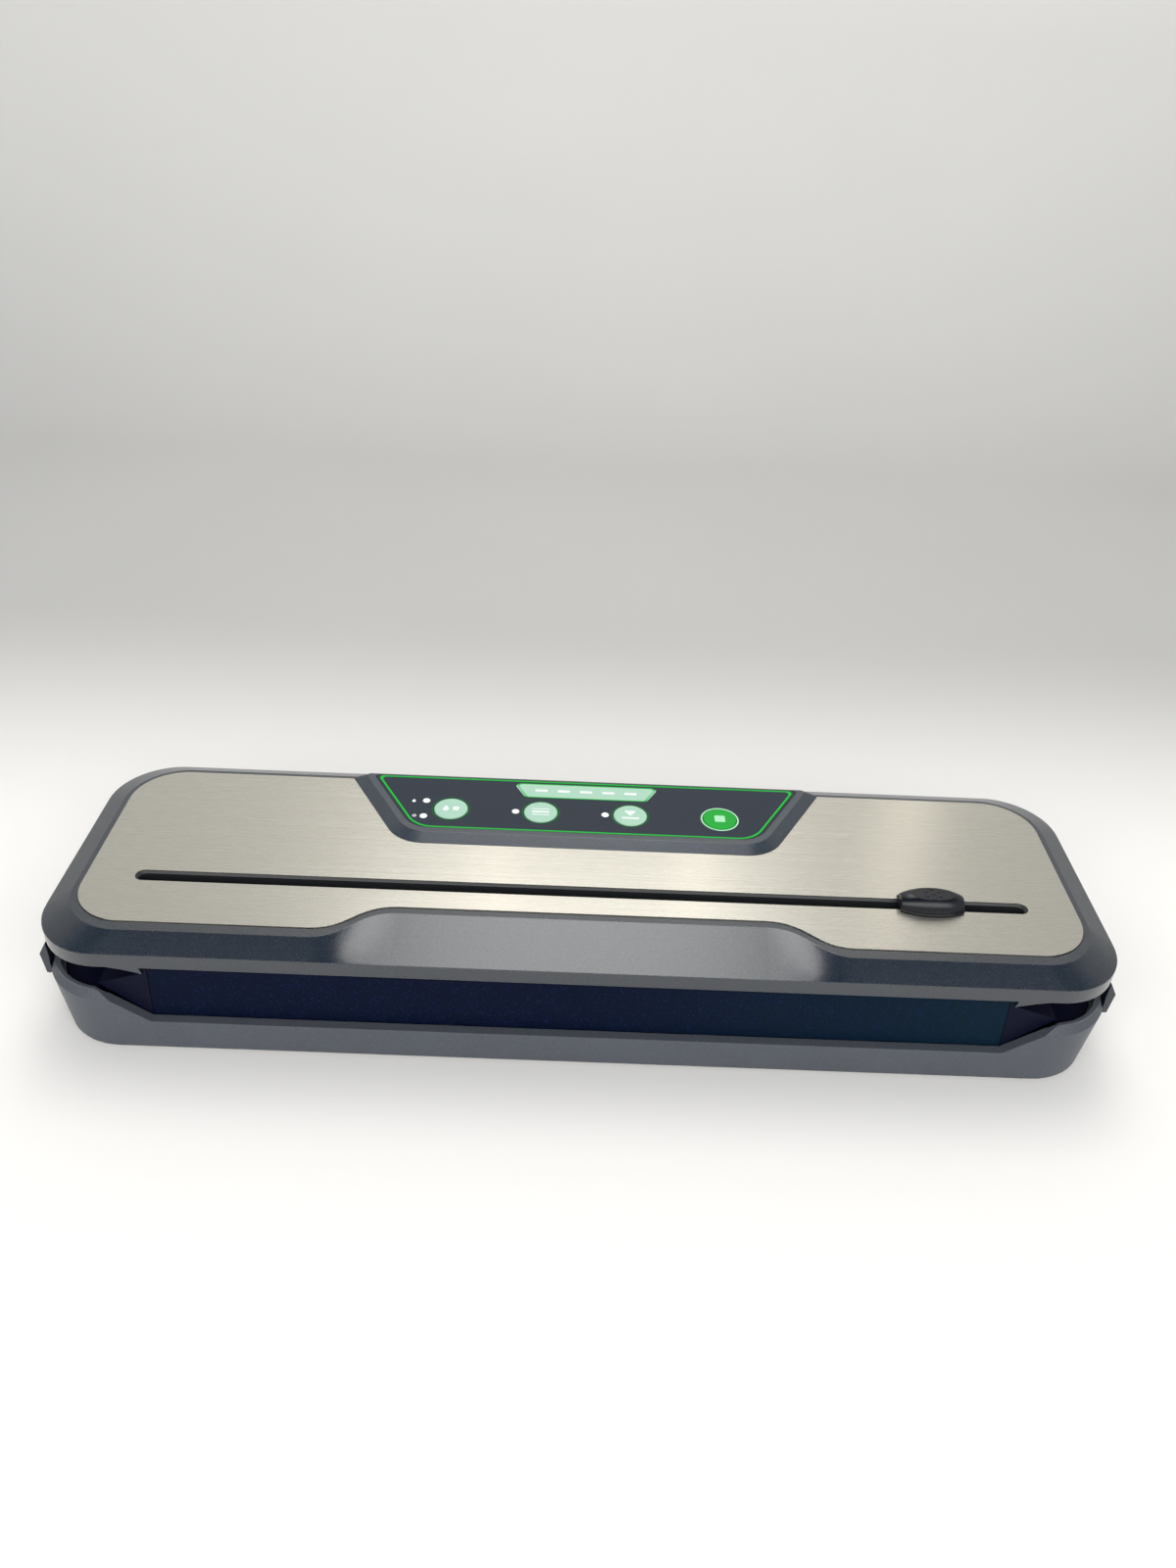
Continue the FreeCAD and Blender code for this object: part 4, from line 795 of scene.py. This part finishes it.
def stage_sheet(name, rows, half_width, material):
    """Smooth sheet through rows of (y, z), level from left to right."""
    made = bmesh.new()
    previous = None
    for y, z in rows:
        row = [made.verts.new((x, y, z)) for x in (-half_width, half_width)]
        if previous:
            made.faces.new((previous[0], previous[1], row[1], row[0]))
        previous = row
    sheet = mesh_object(name, made, material)
    smooth(sheet)


def build_stage():
    """Pale floor that turns up into a light grey wall well behind the object: from just behind the
    object on, painted shade greys the floor and the wall, and the wall glows more the higher it
    rises.
    """
    look = Look("backdrop_paint", roughness=0.62)
    look.set("Specular IOR Level", 0.2)
    # Painted shade: the floor turns from its pale colour to the blotchy grey from just behind the
    # object back.
    shade_falloff = look.remap(look.axis("Y"), *SHADE_FALLOFF_SPAN_Y, interpolation_type="SMOOTHSTEP")
    blotches = look.remap(look.noise(BLOTCH_SIZE, 4.0), *FIRM_CONTRAST, 0.0, BLOTCH_STRENGTH)
    far_shade = look.blend(blotches, FAR_SHADE_DARK, FAR_SHADE_PALE)
    look.colour(look.blend(shade_falloff, FLOOR_COLOUR, far_shade))
    glow = look.tint(look.axis("Z"), GLOW_SPAN_Z, (0.0, 0.0, 0.0), WALL_GLOW)
    look.link("Emission Color", glow)
    look.set("Emission Strength", 1.0)
    angles = [math.pi / 2 * i / COVE_STEPS for i in range(COVE_STEPS + 1)]
    cove = [(COVE_Y + COVE_R * math.sin(a), COVE_R * (1 - math.cos(a))) for a in angles]
    rows = [(FLOOR_FRONT_Y, 0.0), (0.0, 0.0)] + cove + [(COVE_Y + COVE_R, WALL_TOP_Z)]
    stage_sheet("floor", rows, STAGE_HALF_WIDTH, look.material)


def softbox(name, place, target, width, height, watts, colour):
    data = bpy.data.lights.new(name, "AREA")
    data.shape = "RECTANGLE"
    data.size = width
    data.size_y = height
    data.energy = watts
    data.color = colour
    light = bpy.data.objects.new(name, data)
    light.location = place
    aim = Vector(target) - Vector(place)
    light.rotation_euler = aim.to_track_quat("-Z", "Y").to_euler()
    light.visible_camera = False
    bpy.context.scene.collection.objects.link(light)


def build_world():
    """Pale walls all round under a dim bluish ceiling."""
    world = bpy.data.worlds.new("studio")
    bpy.context.scene.world = world
    world.use_nodes = True
    tree = world.node_tree
    direction = tree.nodes.new("ShaderNodeTexCoord").outputs["Generated"]
    split = tree.nodes.new("ShaderNodeSeparateXYZ")
    tree.links.new(direction, split.inputs["Vector"])
    ramp = tree.nodes.new("ShaderNodeMapRange")
    ramp.interpolation_type = "SMOOTHSTEP"
    ramp.inputs["From Min"].default_value = WALL_END
    ramp.inputs["From Max"].default_value = CEILING_START
    tree.links.new(split.outputs["Z"], ramp.inputs["Value"])
    mix = tree.nodes.new("ShaderNodeMix")
    mix.data_type = "RGBA"
    tree.links.new(ramp.outputs["Result"], mix.inputs[MIX_FACTOR])
    mix.inputs[MIX_A].default_value = (*WALL_LIGHT, 1)
    mix.inputs[MIX_B].default_value = (*CEILING_LIGHT, 1)
    tree.links.new(mix.outputs[MIX_RESULT], tree.nodes["Background"].inputs["Color"])


def build_lights():
    """A panel above and behind, a broad fill from the front, and three faint warm streaks."""
    build_world()
    for panel in PANELS:
        softbox(*panel)
    for name, x, width, watts in STREAKS:
        softbox(name, (x, STREAK_Y, STREAK_Z), (x * STREAK_AIM_SHARE, 0, STREAK_AIM_Z),
                width, STREAK_LENGTH, watts, STREAK_COLOUR)


def build_camera():
    """Camera a little above and in front of the object, slightly turned and rolled."""
    forward = Vector((math.sin(CAMERA_YAW) * math.cos(CAMERA_PITCH),
                      math.cos(CAMERA_YAW) * math.cos(CAMERA_PITCH), -math.sin(CAMERA_PITCH)))
    level = Vector((math.cos(CAMERA_YAW), -math.sin(CAMERA_YAW), 0))
    upright = level.cross(forward)
    right = math.cos(CAMERA_ROLL) * level + math.sin(CAMERA_ROLL) * upright
    up = math.cos(CAMERA_ROLL) * upright - math.sin(CAMERA_ROLL) * level
    turn = Matrix((right, up, -forward)).transposed().to_4x4()
    data = bpy.data.cameras.new("camera")
    data.sensor_width = CAMERA_SENSOR
    data.lens = CAMERA_LENS
    data.clip_start, data.clip_end = CAMERA_CLIP
    camera = bpy.data.objects.new("camera", data)
    camera.matrix_world = Matrix.Translation(Vector(CAMERA_PLACE)) @ turn
    bpy.context.scene.collection.objects.link(camera)
    bpy.context.scene.camera = camera


# ---------------------------------------------------------------- build
bpy.context.scene.view_settings.view_transform = "Standard"
build_camera()
build_lights()
build_stage()
looks = cad_looks()
finish_cad_nodes(looks)
for name, width in SOFT_EDGES.items():
    soften_edges(name, width)
build_pod_print()
foam_ring("chamber_gasket_foam", "chamber_gasket", 1, "base", looks["gasket_rubber"])
foam_ring("upper_gasket_foam", "upper_gasket", -1, "lid", looks["gasket_rubber"])
